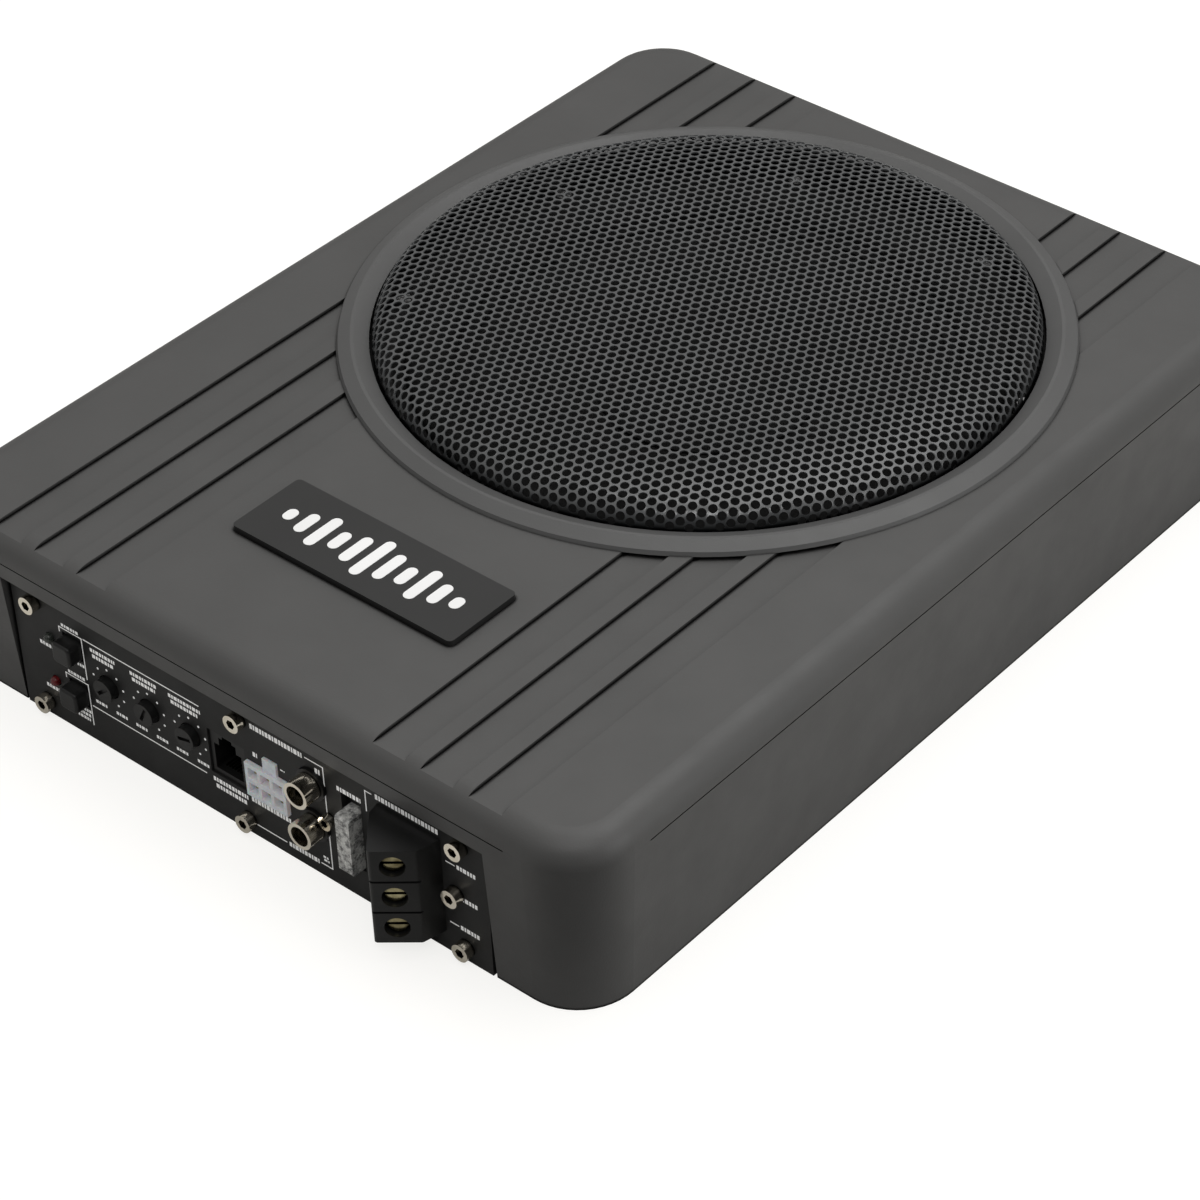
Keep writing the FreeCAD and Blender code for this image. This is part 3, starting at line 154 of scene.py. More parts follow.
def make_studio():
    """A plain floor with soft lamps above and beside the object."""
    make_surroundings()
    soft_light("top_lamp", (0.1, 0.35, 1.1), (0, 0, 0.05), 1.1, 0.8, 5.0)
    soft_light("key_lamp", (0.66, -0.74, 1.25), (0, 0, 0.05), 0.45, 0.3, 3.0)
    soft_light("side_lamp", (1.3, 0.2, 0.5), (0, 0, 0.03), 0.8, 0.8, 3.5)
    half = 4.0
    data = bpy.data.meshes.new("floor")
    corners = [(-half, -half), (half, -half), (half, half), (-half, half)]
    data.from_pydata([(x, y, cad_box[0].z) for x, y in corners], [], [(0, 1, 2, 3)])
    data.materials.append(floor_paper())
    floor = bpy.data.objects.new("floor", data)
    bpy.context.scene.collection.objects.link(floor)


# ---------------------------------------------------------------- materials

def add_node(tree, kind, inputs=None, **settings):
    """A node with its settings and inputs; an input may be a value or another node's output."""
    made = tree.nodes.new(kind)
    for key, value in settings.items():
        setattr(made, key, value)
    for key, value in (inputs or {}).items():
        if isinstance(value, bpy.types.NodeSocket):
            tree.links.new(value, made.inputs[key])
        else:
            made.inputs[key].default_value = value
    return made


def new_material(name, **constants):
    """A node material whose shader sockets are named in words, such as coat_weight."""
    material = bpy.data.materials.new(name)
    material.use_nodes = True
    tree = material.node_tree
    shader = tree.nodes["Principled BSDF"]
    sockets = {key.lower().replace(" ", "_"): key for key in shader.inputs.keys()}
    for key, value in constants.items():
        shader.inputs[sockets[key]].default_value = value
    return material, tree, shader


def noise(tree, size, detail=3.0, offset=0.0, roughness=0.5):
    """Noise whose features are about `size` metres across."""
    place = add_node(tree, "ShaderNodeTexCoord").outputs["Object"]
    if offset:
        place = add_node(tree, "ShaderNodeVectorMath", {0: place, 1: (offset, offset, offset)}).outputs[0]
    wanted = {"Vector": place, "Scale": 1.0 / size, "Detail": detail, "Roughness": roughness}
    return add_node(tree, "ShaderNodeTexNoise", wanted).outputs["Fac"]


def spread(tree, value, low, high, start=0.3, end=0.7):
    wanted = {"Value": value, "From Min": start, "From Max": end, "To Min": low, "To Max": high}
    return add_node(tree, "ShaderNodeMapRange", wanted).outputs["Result"]


def tone(tree, amount, dark, light):
    """A colour between two tones, by amount."""
    mixed = add_node(tree, "ShaderNodeMix", data_type="RGBA")
    tree.links.new(amount, mixed.inputs[0])
    mixed.inputs[6].default_value = (*dark, 1.0)
    mixed.inputs[7].default_value = (*light, 1.0)
    return mixed.outputs[2]


def bump(tree, shader, height, depth, strength=1.0, under=None):
    wanted = {"Height": height, "Distance": depth, "Strength": strength}
    if under is not None:
        wanted["Normal"] = under
    made = add_node(tree, "ShaderNodeBump", wanted).outputs["Normal"]
    tree.links.new(made, shader.inputs["Normal"])
    return made


def darken(tree, shader, share):
    """Multiplies the base colour by a value between 0 and 1."""
    colour = shader.inputs["Base Color"].links[0].from_socket
    scaled = add_node(tree, "ShaderNodeVectorMath", {0: colour, "Scale": share}, operation="SCALE").outputs[0]
    tree.links.new(scaled, shader.inputs["Base Color"])


def paint_corner_shade(material, reach):
    """Painted shade: dark lines where faces meet in a corner, as in seams and steps, with less reflection there."""
    tree = material.node_tree
    shader = tree.nodes["Principled BSDF"]
    openness = add_node(tree, "ShaderNodeAmbientOcclusion", {"Distance": reach}, samples=8).outputs["AO"]
    darken(tree, shader, spread(tree, openness, 0.03, 1.0, 0.62, 0.88))
    tree.links.new(spread(tree, openness, 0.1, 0.5, 0.62, 0.88), shader.inputs["Specular IOR Level"])
    return material


def shaded_foot(material, low, high):
    """Painted shade: fades the finish and its reflection to black between two heights, for a sheet that stands in a
    deep, shaded gap.
    """
    tree = material.node_tree
    shader = tree.nodes["Principled BSDF"]
    place = add_node(tree, "ShaderNodeTexCoord").outputs["Object"]
    height = add_node(tree, "ShaderNodeSeparateXYZ", {0: place}).outputs["Z"]
    darken(tree, shader, spread(tree, height, 0.03, 1.0, low, high))
    tree.links.new(spread(tree, height, 0.03, 0.8, low, high), shader.inputs["Specular IOR Level"])
    return material


def grained(name, dark, light, rough, grain, depth, patch=0.03, vary=0.05, **constants):
    """Colour mottled between two tones, roughness that varies a little, and a fine grain."""
    material, tree, shader = new_material(name, **constants)
    patches = noise(tree, patch, 4.0)
    tree.links.new(tone(tree, spread(tree, patches, 0, 1), dark, light), shader.inputs["Base Color"])
    worn = spread(tree, noise(tree, patch * 0.4, 5.0, 3.7), rough - vary, rough + vary)
    tree.links.new(worn, shader.inputs["Roughness"])
    broad = bump(tree, shader, noise(tree, grain * 6, 2.0, 1.3), depth * 1.5, 0.5)
    bump(tree, shader, noise(tree, grain, 2.0), depth, 0.7, broad)
    return material


def grey(level, warm=0.0):
    """A neutral tone, a little warmer or cooler."""
    return (level * (1 + warm), level, level * (1 - warm))


def metal(name, dark, light, rough, scratch=0.0004, depth=0.000004):
    """Plated metal with fine drawn lines and patches of duller finish."""
    material, tree, shader = new_material(name, metallic=1.0)
    patches = noise(tree, 0.004, 4.0)
    tree.links.new(tone(tree, spread(tree, patches, 0, 1), dark, light), shader.inputs["Base Color"])
    tree.links.new(spread(tree, noise(tree, 0.0015, 4.0, 2.1), rough * 0.7, rough * 1.5), shader.inputs["Roughness"])
    bump(tree, shader, noise(tree, scratch, 3.0), depth, 0.5)
    return material


def wound(name, dark, light, pitch, rough, metallic):
    """Fine parallel turns of wire or thread."""
    material, tree, shader = new_material(name, metallic=metallic)
    place = add_node(tree, "ShaderNodeTexCoord").outputs["Object"]
    turns = add_node(tree, "ShaderNodeTexWave", {
        "Vector": place, "Scale": 1.0 / (pitch * 20), "Distortion": 0.4}, bands_direction="Z").outputs["Fac"]
    tree.links.new(tone(tree, turns, dark, light), shader.inputs["Base Color"])
    tree.links.new(spread(tree, noise(tree, 0.004, 3.0), rough - 0.06, rough + 0.06), shader.inputs["Roughness"])
    bump(tree, shader, turns, pitch * 0.4, 0.6)
    return material


def woven(name, dark, light, pitch, rough):
    """Plain weave: two sets of threads across each other."""
    material, tree, shader = new_material(name, sheen_weight=0.3)
    place = add_node(tree, "ShaderNodeTexCoord").outputs["Object"]
    bands = [
        add_node(tree, "ShaderNodeTexWave", {"Vector": place, "Scale": 1.0 / (pitch * 20)},
                 bands_direction=axis).outputs["Fac"]
        for axis in ("X", "Y")
    ]
    weave = add_node(tree, "ShaderNodeMath", {0: bands[0], 1: bands[1]}, operation="MULTIPLY").outputs[0]
    tree.links.new(tone(tree, weave, dark, light), shader.inputs["Base Color"])
    tree.links.new(spread(tree, noise(tree, 0.01, 3.0), rough - 0.05, rough + 0.05), shader.inputs["Roughness"])
    bump(tree, shader, weave, pitch * 0.4, 0.7)
    return material


def laminate(name):
    """Green circuit board with darker tracks and a coat of solder resist."""
    material, tree, shader = new_material(name, coat_weight=0.4, coat_roughness=0.2)
    place = add_node(tree, "ShaderNodeTexCoord").outputs["Object"]
    tracks = add_node(tree, "ShaderNodeTexBrick", {
        "Vector": place, "Scale": 130.0, "Mortar Size": 0.05, "Mortar Smooth": 0.1}).outputs["Fac"]
    tree.links.new(tone(tree, tracks, (0.012, 0.07, 0.03), (0.03, 0.14, 0.05)), shader.inputs["Base Color"])
    tree.links.new(spread(tree, noise(tree, 0.01), 0.35, 0.5), shader.inputs["Roughness"])
    bump(tree, shader, tracks, 0.00003, 0.5)
    return material


def clear_tint(name, dark, light, rough, see_through, **constants):
    """Moulded clear or milky plastic with flow marks inside."""
    material, tree, shader = new_material(name, transmission_weight=see_through, **constants)
    flow = noise(tree, 0.0022, 5.0, 0.7, 0.7)
    tree.links.new(tone(tree, spread(tree, flow, 0, 1, 0.4, 0.6), dark, light), shader.inputs["Base Color"])
    tree.links.new(spread(tree, noise(tree, 0.0012, 4.0), rough, rough + 0.2), shader.inputs["Roughness"])
    bump(tree, shader, flow, 0.00035, 0.8)
    return material


def make_materials():
    """One finish for each material slot of the record."""
    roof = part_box("enclosure_shell")[1].z
    return {
        # painted shade in the shell's corners and channel steps
        "shell_paint": paint_corner_shade(
            grained("shell_paint", grey(0.06, 0.01), grey(0.068, 0.01), 0.5, 0.0005, 0.00005), 1.6 * MM),
        "steel_paint": grained("steel_paint", grey(0.01), grey(0.015), 0.5, 0.0006, 0.00003,
                               specular_ior_level=0.2),
        # painted shade on the grille's foot, in the gap under the bezel
        "grille_paint": shaded_foot(
            grained("grille_paint", grey(0.055, -0.04), grey(0.075, -0.04), 0.27, 0.0004, 0.00002),
            roof + 0.8 * MM, roof + 4.6 * MM),
        "panel_paint": grained("panel_paint", grey(0.015), grey(0.019), 0.5, 0.0005, 0.00002,
                               specular_ior_level=0.25),
        # painted shade at the bezel's foot and steps
        "bezel_plastic": paint_corner_shade(
            grained("bezel_plastic", grey(0.08), grey(0.088), 0.5, 0.0005, 0.00003), 1.2 * MM),
        "badge_plastic": grained("badge_plastic", grey(0.01), grey(0.013), 0.42, 0.0005, 0.00001),
        "black_plastic": grained("black_plastic", grey(0.005), grey(0.009), 0.38, 0.0004, 0.00002,
                                 specular_ior_level=0.35),
        # the faint emission is a painted glow that lifts the shade of the milky plastic
        "white_plastic": clear_tint("white_plastic", (0.6, 0.62, 0.65), (0.74, 0.76, 0.78), 0.35, 0.1,
                                    subsurface_weight=0.6, subsurface_scale=0.006,
                                    emission_color=(0.8, 0.84, 0.9, 1.0), emission_strength=0.07),
        "clear_plastic": clear_tint("clear_plastic", (0.2, 0.2, 0.2), (0.95, 0.95, 0.92), 0.12, 0.3),
        "dark_lens": clear_tint("dark_lens", (0.03, 0.035, 0.03), (0.06, 0.07, 0.06), 0.12, 0.2),
        "red_lens": clear_tint("red_lens", (0.1, 0.006, 0.008), (0.2, 0.012, 0.014), 0.15, 0.2),
        "rubber": grained("rubber", grey(0.005), grey(0.008), 0.8, 0.0008, 0.00006, specular_ior_level=0.1),
        "cone_pulp": grained("cone_pulp", grey(0.005), grey(0.009), 0.8, 0.0012, 0.00015, 0.01,
                             specular_ior_level=0.1),
        "spider_cloth": woven("spider_cloth", (0.3, 0.22, 0.1), (0.62, 0.5, 0.28), 0.0007, 0.7),
        # painted shade in the recesses of the nickel and brass screws
        "nickel": paint_corner_shade(metal("nickel", (0.84, 0.77, 0.64), (0.98, 0.92, 0.8), 0.14), 1.6 * MM),
        "brass": paint_corner_shade(metal("brass", (0.16, 0.13, 0.06), (0.62, 0.56, 0.34), 0.14), 2.0 * MM),
        "zinc_steel": metal("zinc_steel", grey(0.42), grey(0.6), 0.35),
        "ferrite": grained("ferrite", grey(0.03, -0.03), grey(0.05, -0.03), 0.6, 0.0006, 0.00008),
        "copper": wound("copper", (0.3, 0.11, 0.05), (0.72, 0.36, 0.2), 0.0005, 0.3, 0.9),
        "board_laminate": laminate("board_laminate"),
        "aluminium": metal("aluminium", grey(0.55), grey(0.72), 0.35),
        "can_sleeve": grained("can_sleeve", (0.012, 0.015, 0.03), (0.02, 0.024, 0.045), 0.3, 0.001, 0.00002),
        # the emission is a painted glow that brightens the print
        "print_ink": grained("print_ink", grey(0.82), grey(0.92), 0.6, 0.0004, 0.00001, 0.003,
                             emission_color=(0.9, 0.9, 0.88, 1.0), emission_strength=0.16),
        "emblem_ink": grained("emblem_ink", grey(0.86), grey(0.93), 0.45, 0.0006, 0.00001),
    }


def dress_nodes(finishes):
    """Gives every carried-over node the finish of its own material slot."""
    for part in frame["record"]["subparts"]:
        holder = frame["nodes"][part["node"]].data.materials
        holder.clear()
        holder.append(finishes[part["material_slot"]])


# ---------------------------------------------------------------- pieces

def add_piece(name, points, faces, finish, slot, body=FIXED, smooth=None, blended=False):
    """A mesh piece that rides on a body. smooth is the largest angle shaded as a curve."""
    data = bpy.data.meshes.new(name)
    data.from_pydata([Vector(p) for p in points], [], faces)
    data.validate()
    work = bmesh.new()
    work.from_mesh(data)
    bmesh.ops.recalc_face_normals(work, faces=work.faces)
    work.to_mesh(data)
    work.free()
    if smooth is not None:
        data.shade_smooth()
        data.set_sharp_from_angle(angle=math.radians(smooth))
    data.materials.append(finish)
    made = bpy.data.objects.new(name, data)
    bpy.context.scene.collection.objects.link(made)
    if not blended:
        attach(made, body)
    return made


def lathe(profile, centre, steps=128, axis="z"):
    """Points and faces of a closed (radius, height) outline turned about an axis."""
    points = []
    count = len(profile)
    for i in range(steps):
        turn = 2 * math.pi * i / steps
        for radius, height in profile:
            side, other = radius * math.cos(turn), radius * math.sin(turn)
            local = (side, other, height) if axis == "z" else (side, -height, other)
            points.append(Vector(centre) + Vector(local))
    faces = []
    for i in range(steps):
        ahead = (i + 1) % steps
        for j in range(count):
            following = (j + 1) % count
            faces.append((i * count + j, ahead * count + j, ahead * count + following, i * count + following))
    return points, faces


# ---------------------------------------------------------------- grille

PITCH = 3.22 * MM
HOLE = 1.35 * MM
SHEET = 0.42 * MM
FLANGE_LIFT = 1.0 * MM
HOLE_SIDES = 12
RIM_INSET = 3.4 * MM
BEND = 7.0 * MM
FOLD_RADIUS = 69.0 * MM
FOLD_DROP = 0.7 * MM
SHOULDER_DROP = 3.0 * MM
BAND_CURVE = 120.0 * MM


def arc_points(start, end, radius, steps):
    """Points of the shorter arc that bulges away from the axis, without its start."""
    chord = end - start
    inward = Vector((chord.y, -chord.x)).normalized()
    centre = start + chord / 2 + inward * math.sqrt(radius ** 2 - (chord.length / 2) ** 2)
    first = start - centre
    sweep = 2 * math.asin(chord.length / 2 / radius)
    found = []
    for i in range(1, steps + 1):
        turn = -sweep * i / steps
        found.append(centre + Vector((
            first.x * math.cos(turn) - first.y * math.sin(turn),
            first.x * math.sin(turn) + first.y * math.cos(turn))))
    return found


class GrilleProfile:
    """The outer face of the sheet as (radius, height), by distance from its middle."""

    def __init__(self):
        low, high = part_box("grille")
        flange = (high.x - low.x) / 2
        rim = flange - RIM_INSET
        base = low.z + FLANGE_LIFT
        shoulder = Vector((rim - BEND, high.z - SHOULDER_DROP))
        crown_steps = 20
        self.middle = (low + high) / 2
        self.points = [
            Vector((FOLD_RADIUS * i / crown_steps, high.z - FOLD_DROP * (i / crown_steps) ** 2))
            for i in range(crown_steps + 1)
        ]
        self.points += arc_points(self.points[-1], shoulder, BAND_CURVE, 12)
        self.points += arc_points(shoulder, Vector((rim, shoulder.y - BEND)), BEND, 24)
        self.points.append(Vector((rim, base)))
        self.points.append(Vector((flange, base)))
        self.reach = [0.0]
        for before, after in zip(self.points, self.points[1:]):
            self.reach.append(self.reach[-1] + (after - before).length)
        self.dome_length = self.reach[-2]
        self.full_length = self.reach[-1]

    def at(self, distance):
        """Where a distance along the sheet falls, and the outward normal there."""
        last = len(self.points) - 2
        step = next((i for i in range(last) if distance < self.reach[i + 1]), last)
        before, after = self.points[step], self.points[step + 1]
        run = (after - before).normalized()
        return before + run * (distance - self.reach[step]), Vector((-run.y, run.x))


def lattice_cells(limit):
    """Centres of the staggered holes inside a circle."""
    row_step = PITCH * math.sqrt(3) / 2
    rows = int(limit / row_step) + 1
    cells = []
    for row in range(-rows, rows + 1):
        shift = PITCH / 2 if row % 2 else 0.0
        columns = int(limit / PITCH) + 1
        for column in range(-columns, columns + 1):
            x, y = column * PITCH + shift, row * row_step
            if math.hypot(x, y) < limit:
                cells.append((x, y))
    return cells


class FlatSheet:
    """The sheet before it is formed: points and faces in the plane."""

    def __init__(self):
        self.points = []
        self.index = {}
        self.faces = []

    def add(self, x, y):
        key = (round(x * 1e7), round(y * 1e7))
        if key not in self.index:
            self.index[key] = len(self.points)
            self.points.append((x, y))
        return self.index[key]

    def circle(self, radius, steps, turn=0.0):
        turns = [turn + 2 * math.pi * k / steps for k in range(steps)]
        return [(radius * math.sin(a), radius * math.cos(a)) for a in turns]


def punch_cells(sheet, limit):
    """Hexagon cells with round holes; gives back the edges that only one cell uses."""
    corners = sheet.circle(PITCH / math.sqrt(3), 6)
    rounds = sheet.circle(HOLE, HOLE_SIDES)
    uses = {}
    for x, y in lattice_cells(limit):
        outer = [sheet.add(x + dx, y + dy) for dx, dy in corners]
        hole = [sheet.add(x + dx, y + dy) for dx, dy in rounds]
        for k in range(6):
            here, ahead = outer[k], outer[(k + 1) % 6]
            a, b, c = hole[2 * k], hole[2 * k + 1], hole[(2 * k + 2) % HOLE_SIDES]
            sheet.faces += [(here, a, b), (here, b, ahead), (ahead, b, c)]
            pair = (min(here, ahead), max(here, ahead))
            uses[pair] = uses.get(pair, 0) + 1
    return [pair for pair, count in uses.items() if count == 1]


def is_punched(x, y, limit):
    """True where the nearest hole centre is one of the punched ones."""
    row_step = PITCH * math.sqrt(3) / 2
    base = round(y / row_step)
    near = []
    for row in (base - 1, base, base + 1):
        shift = PITCH / 2 if row % 2 else 0.0
        column = round((x - shift) / PITCH)
        near.append((column * PITCH + shift, row * row_step))
    nearest = min(near, key=lambda spot: math.hypot(x - spot[0], y - spot[1]))
    return math.hypot(*nearest) < limit


def fill_border(sheet, ragged, ring, limit):
    """Plain triangles between the last cells and the foot of the dome."""
    used = sorted({i for pair in ragged for i in pair})
    local = {old: new for new, old in enumerate(used)}
    everything = used + ring
    spots = [Vector(sheet.points[i]) for i in everything]
    edges = [(local[a], local[b]) for a, b in ragged]
    first = len(used)
    edges += [(first + i, first + (i + 1) % len(ring)) for i in range(len(ring))]
    found = delaunay_2d_cdt(spots, edges, [], 0, 1e-9)
    origin = {new: olds[0] for new, olds in enumerate(found[3]) if olds}
    for triangle in found[2]:
        olds = [origin[i] for i in triangle]
        centre = sum((spots[i] for i in olds), Vector((0, 0))) / 3
        if not is_punched(centre.x, centre.y, limit):
            sheet.faces.append(tuple(everything[i] for i in olds))


def formed_sheet(name, sheet, faces, profile, finish):
    """Bends part of the flat sheet over the dome and gives it its thickness."""
    used = sorted({i for face in faces for i in face})
    local = {old: new for new, old in enumerate(used)}
    faces = [tuple(local[i] for i in face) for face in faces]
    outer, inner = [], []
    for i in used:
        x, y = sheet.points[i]
        spot, normal = profile.at(math.hypot(x, y))
        turn = math.atan2(y, x)
        for store, (radius, height) in ((outer, spot), (inner, spot - normal * SHEET)):
            store.append((profile.middle.x + radius * math.cos(turn),
                          profile.middle.y + radius * math.sin(turn), height))
    count = len(used)
    uses = {}
    for face in faces:
        for a, b in zip(face, face[1:] + face[:1]):
            uses.setdefault((min(a, b), max(a, b)), []).append((a, b))
    walls = [(b, a, count + a, count + b) for (a, b), *more in uses.values() if not more]
    backs = [tuple(count + i for i in reversed(face)) for face in faces]
    made = add_piece(name, outer + inner, faces + backs + walls, finish, "grille_paint", smooth=60)
    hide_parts("grille")


def build_grille(finish):
    """Perforated dome with a plain flange, in an inner and an outer part that meet at the fold."""
    profile = GrilleProfile()
    sheet = FlatSheet()
    limit = profile.dome_length - 2.2 * MM
    ragged = punch_cells(sheet, limit)
    steps = 240
    ring = [sheet.add(x, y) for x, y in sheet.circle(profile.dome_length, steps)]
    fill_border(sheet, ragged, ring, limit)
    rim = [sheet.add(x, y) for x, y in sheet.circle(profile.full_length, steps)]
    for i in range(steps):
        ahead = (i + 1) % steps
        sheet.faces.append((ring[i], rim[i], rim[ahead], ring[ahead]))
    inner, outer = [], []
    for face in sheet.faces:
        x, y = (sum(sheet.points[i][axis] for i in face) / len(face) for axis in (0, 1))
        cell_in = is_punched(x, y, FOLD_RADIUS)
        (inner if cell_in else outer).append(face)
    formed_sheet("grille_crown", sheet, inner, profile, finish)
    formed_sheet("grille_shoulder", sheet, outer, profile, finish)


# ---------------------------------------------------------------- badge emblem

def merge(parts):
    """One mesh from several (points, faces) pairs."""
    points, faces = [], []
    for more_points, more_faces in parts:
        base = len(points)
        points += more_points
        faces += [tuple(base + i for i in face) for face in more_faces]
    return points, faces


def flat_outline(outline, level, thickness, to_world):
    """A thin plate from an outline in the plane, raised by its thickness."""
    count = len(outline)
    points = [to_world(x, y, level) for x, y in outline] + [to_world(x, y, level + thickness) for x, y in outline]
    faces = [tuple(range(count - 1, -1, -1)), tuple(range(count, 2 * count))]
    faces += [(i, (i + 1) % count, count + (i + 1) % count, count + i) for i in range(count)]
    return points, faces


def capsule(x, y, width, height, steps=8):
    """Outline of an upright bar with round ends."""
    radius = width / 2
    reach = max(height / 2 - radius, 0)
    outline = []
    for sign, centre in ((1, y + reach), (-1, y - reach)):
        for i in range(steps + 1):
            turn = math.pi * i / steps + (0 if sign > 0 else math.pi)
            outline.append((x + radius * math.cos(turn), centre + radius * math.sin(turn)))
    return outline


def badge_emblem(finish):
    """A row of upright bars like a level meter, raised a little from the badge."""
    low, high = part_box("badge_plate")
    middle = (low + high) / 2
    heights = [5.0, 9.0, 14.0, 8.0, 12.0, 17.0, 12.0, 8.0, 14.0, 9.0, 5.0]
    pitch = 6.1 * MM
    bars = []
    for i, height in enumerate(heights):
        x = middle.x + (i - (len(heights) - 1) / 2) * pitch
        outline = capsule(x, middle.y, 3.5 * MM, height * MM)
        bars.append(flat_outline(outline, high.z - 0.1 * MM, 0.18 * MM, lambda a, b, c: (a, b, c)))
    add_piece("badge_emblem", *merge(bars), finish, "badge_plastic", smooth=40)


# ---------------------------------------------------------------- panel print

INK = 0.05 * MM
FINE = 0.34 * MM
CAPTION_BLOCKS = (0.9, 0.55, 1.15, 0.7, 0.6, 1.0)


def ribbon(path, width=FINE):
    """Outline pieces of a line of even width through points in the panel's plane."""
    parts = []
    for start, end in zip(path, path[1:]):
        run = Vector(end) - Vector(start)
        ahead = run.normalized() * (width / 2)
        side = Vector((-ahead.y, ahead.x))
        a, b = Vector(start) - ahead, Vector(end) + ahead
        parts.append([tuple(a - side), tuple(b - side), tuple(b + side), tuple(a + side)])
    return parts


def dot(x, y, radius=0.38 * MM):
    return [[(x + radius * math.cos(k * math.pi / 5), y + radius * math.sin(k * math.pi / 5)) for k in range(10)]]


def caption(x, z, length, rows=1, height=1.2):
    """Rows of plain blocks where the product carries a printed caption. Lengths in millimetres."""
    parts = []
    for row in range(rows):
        level = z - row * height * 1.6 * MM
        reach = length / 2 * (1 - 0.12 * row) * MM
        here, count = x - reach, 2 * row
        while here < x + reach - 0.3 * MM:
            end = min(here + CAPTION_BLOCKS[count % len(CAPTION_BLOCKS)] * MM, x + reach)
            low, high = level - height / 2 * MM, level + height / 2 * MM
            parts.append([(here, low), (end, low), (end, high), (here, high)])
            here = end + 0.34 * MM
            count += 1
    return parts


def frame_of(node):
    """Middle of a node on the panel, as (x, z)."""
    low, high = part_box(node)
    return (low.x + high.x) / 2, (low.z + high.z) / 2


def knob_marks():
    """Scale dots round each knob, the captions above and below it and the group's two long lines."""
    parts = []
    centres = [frame_of(name) for name in ("filter_knob", "bass_knob", "level_knob")]
    for (x, z), length in zip(centres, (9.5, 10.0, 12.0)):
        for k in range(9):
            turn = math.radians(-60 + 37.5 * k)
            parts += dot(x + 6.0 * MM * math.cos(turn), z + 6.0 * MM * math.sin(turn))
        parts += caption(x - 1.0 * MM, z + 10.4 * MM, length, 2)
        for side in (-1, 1):
            parts += caption(x + side * 4.0 * MM, z - 8.2 * MM, 4.6, 1, 1.0)
    left, right = centres[0][0] - 8.0 * MM, centres[-1][0] + 4.6 * MM
    level = centres[0][1]
    parts += ribbon([(left, level + 12.6 * MM), (right, level + 12.6 * MM)])
    parts += ribbon([(left, level - 11.0 * MM), (right, level - 11.0 * MM)])
    return parts


def switch_marks():
    """Boxes round the two buttons, the captions under them and the captions of the lights."""
    parts = []
    for button, light, rows in (("phase_button", "power_led", 1), ("mode_button", "protect_led", 3)):
        x, z = frame_of(button)
        left, right = x - 4.8 * MM, x + 4.0 * MM
        top, bottom = z + 5.0 * MM, z - 9.4 * MM
        parts += ribbon([(left, z + 3.4 * MM), (left, top), (right, top), (right, bottom)])
        parts += caption(x - 0.2 * MM, top + 1.2 * MM, 7.0, 1, 1.0)
        parts += caption(x + 0.4 * MM, z - 5.2 * MM, 6.4, rows, 1.0)
        lamp_x, lamp_z = frame_of(light)
        parts += caption(lamp_x - 0.8 * MM, lamp_z - 3.6 * MM, 7.6)
    return parts


def input_marks():
    """The box round the inputs with its captions."""
    parts = []
    low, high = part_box("input_connector")
    jack_x, jack_z = frame_of("jack_barrels")
    left, right = low.x + 0.9 * MM, jack_x + 4.6 * MM
    top, bottom = jack_z + 15.2 * MM, jack_z - 20.8 * MM
    parts += caption(left + 11.2 * MM, top, 19.0, 1, 1.7)
    parts += ribbon([(left + 21.8 * MM, top), (right, top), (right, bottom), (right - 4.0 * MM, bottom)])
    parts += caption(right - 10.4 * MM, bottom, 11.0, 1, 1.5)
    parts += ribbon([(right - 17.0 * MM, bottom), (left, bottom)])
    parts += caption((low.x + high.x) / 2, low.z - 2.4 * MM, 14.5, 1, 1.5)
    parts += caption(low.x + 3.4 * MM, high.z - 1.0 * MM, 1.6, 1, 1.5)
    parts += caption(high.x - 1.4 * MM, high.z - 1.0 * MM, 1.6, 1, 0.4)
    parts += caption(right - 2.0 * MM, top - 2.6 * MM, 2.2, 1, 1.7)
    parts += caption(right - 2.0 * MM, bottom + 2.9 * MM, 2.2, 2, 0.7)
    return parts


def socket_marks():
    """Captions of the remote socket and the fuse, and the power input's lines."""
    parts = []
    remote_low, remote_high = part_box("remote_socket")
    parts += caption((remote_low.x + remote_high.x) / 2, remote_low.z - 2.4 * MM, 13.0, 2, 1.4)
    fuse_x = frame_of("fuse_head")[0]
    parts += caption(fuse_x - 0.6 * MM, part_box("fuse_head")[1].z + 5.4 * MM, 8.5, 1, 1.5)
    low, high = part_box("terminal_block")
    left, top = fuse_x + 5.6 * MM, high.z + 2.0 * MM
    parts += ribbon([(left, top - 7.0 * MM), (left, top), (left + 2.2 * MM, top)])
    parts += caption(left + 14.6 * MM, top, 22.0, 1, 1.7)
    for number in (1, 2, 3):
        level = frame_of(f"terminal_screw_{number}")[1] - 1.2 * MM
        parts += ribbon([(high.x + 1.6 * MM, level), (high.x + 4.4 * MM, level)])
        parts += caption(high.x + 8.4 * MM, level, 6.4, 1, 1.4)
    return parts


def panel_print(finish):
    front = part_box("front_panel")[0].y

    def to_world(x, z, lift):
        return (x, front - lift, z)

    outlines = knob_marks() + switch_marks() + input_marks() + socket_marks()
    plates = [flat_outline(outline, -INK, 2 * INK, to_world) for outline in outlines]
    add_piece("panel_print", *merge(plates), finish, "panel_paint")


# ---------------------------------------------------------------- soft rings of the driver

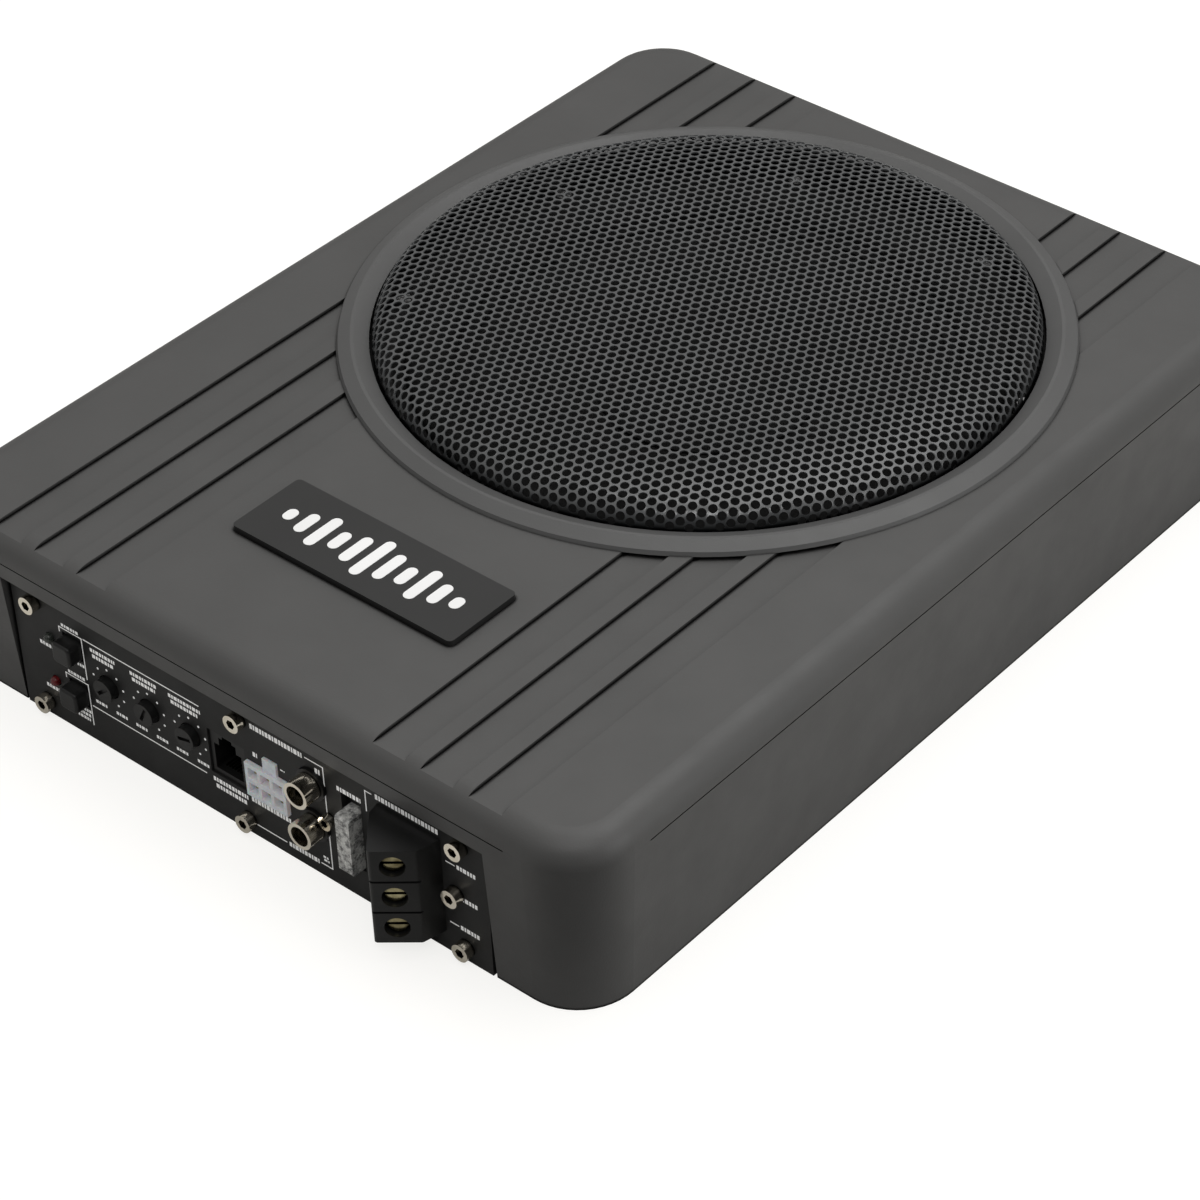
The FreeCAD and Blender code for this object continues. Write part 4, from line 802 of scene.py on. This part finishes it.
def soft_ring(name, node, profile, finish, slot):
    """A suspension ring between the fixed frame and the moving cone; the real one bends, this mesh is fixed and
    rides on no body.
    """
    low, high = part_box(node)
    middle = (low + high) / 2
    points, faces = lathe(profile, (middle.x, middle.y, 0))
    made = add_piece(name, points, faces, finish, slot, smooth=50, blended=True)
    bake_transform(made)
    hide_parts(node)


def surround_and_spider(finishes):
    low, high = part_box("surround")
    outer = (high.x - low.x) / 2
    inner = outer - 22.2 * MM
    foot = low.z
    step = high.z
    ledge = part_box("speaker_basket")[1].z
    roll = 7.6 * MM
    crest = []
    under = []
    arc_steps = 14
    roll_middle = inner + 11.4 * MM
    for i in range(arc_steps + 1):
        turn = math.pi * i / arc_steps
        rise = (ledge - foot) * (1 - math.cos(turn)) / 2
        reach = roll - 0.9 * MM
        crest.append((roll_middle - roll * math.cos(turn) * 0.98, foot + 1.0 * MM + rise
                      + (step - ledge - 1.0 * MM) * math.sin(turn)))
        under.append((roll_middle - reach * math.cos(turn), foot + rise
                      + (step - ledge - 1.0 * MM) * math.sin(turn)))
    profile = [(inner, foot), *under, (outer, ledge), (outer, ledge + 1.0 * MM), *reversed(crest),
               (inner, foot + 1.0 * MM)]
    soft_ring("rubber_surround", "surround", profile, finishes["rubber"], "rubber")
    low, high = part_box("spider")
    outer = (high.x - low.x) / 2
    inner = 25.0 * MM
    top, under = [], []
    ripple_steps = 60
    for i in range(ripple_steps + 1):
        share = i / ripple_steps
        radius = outer - (outer - inner) * share
        flat = min(1.0, share / 0.12, (1 - share) / 0.05)
        level = low.z + (high.z - low.z - 1.8 * MM) * share + flat * 0.9 * MM * (1 - math.cos(12 * math.pi * share))
        under.append((radius, level))
        top.append((radius, level + 0.6 * MM))
    soft_ring("woven_spider", "spider", under + top[::-1], finishes["spider_cloth"], "spider_cloth")


# ---------------------------------------------------------------- everything


make_camera()
make_studio()
finishes = make_materials()
dress_nodes(finishes)
build_grille(finishes["grille_paint"])
badge_emblem(finishes["emblem_ink"])
panel_print(finishes["print_ink"])
surround_and_spider(finishes)
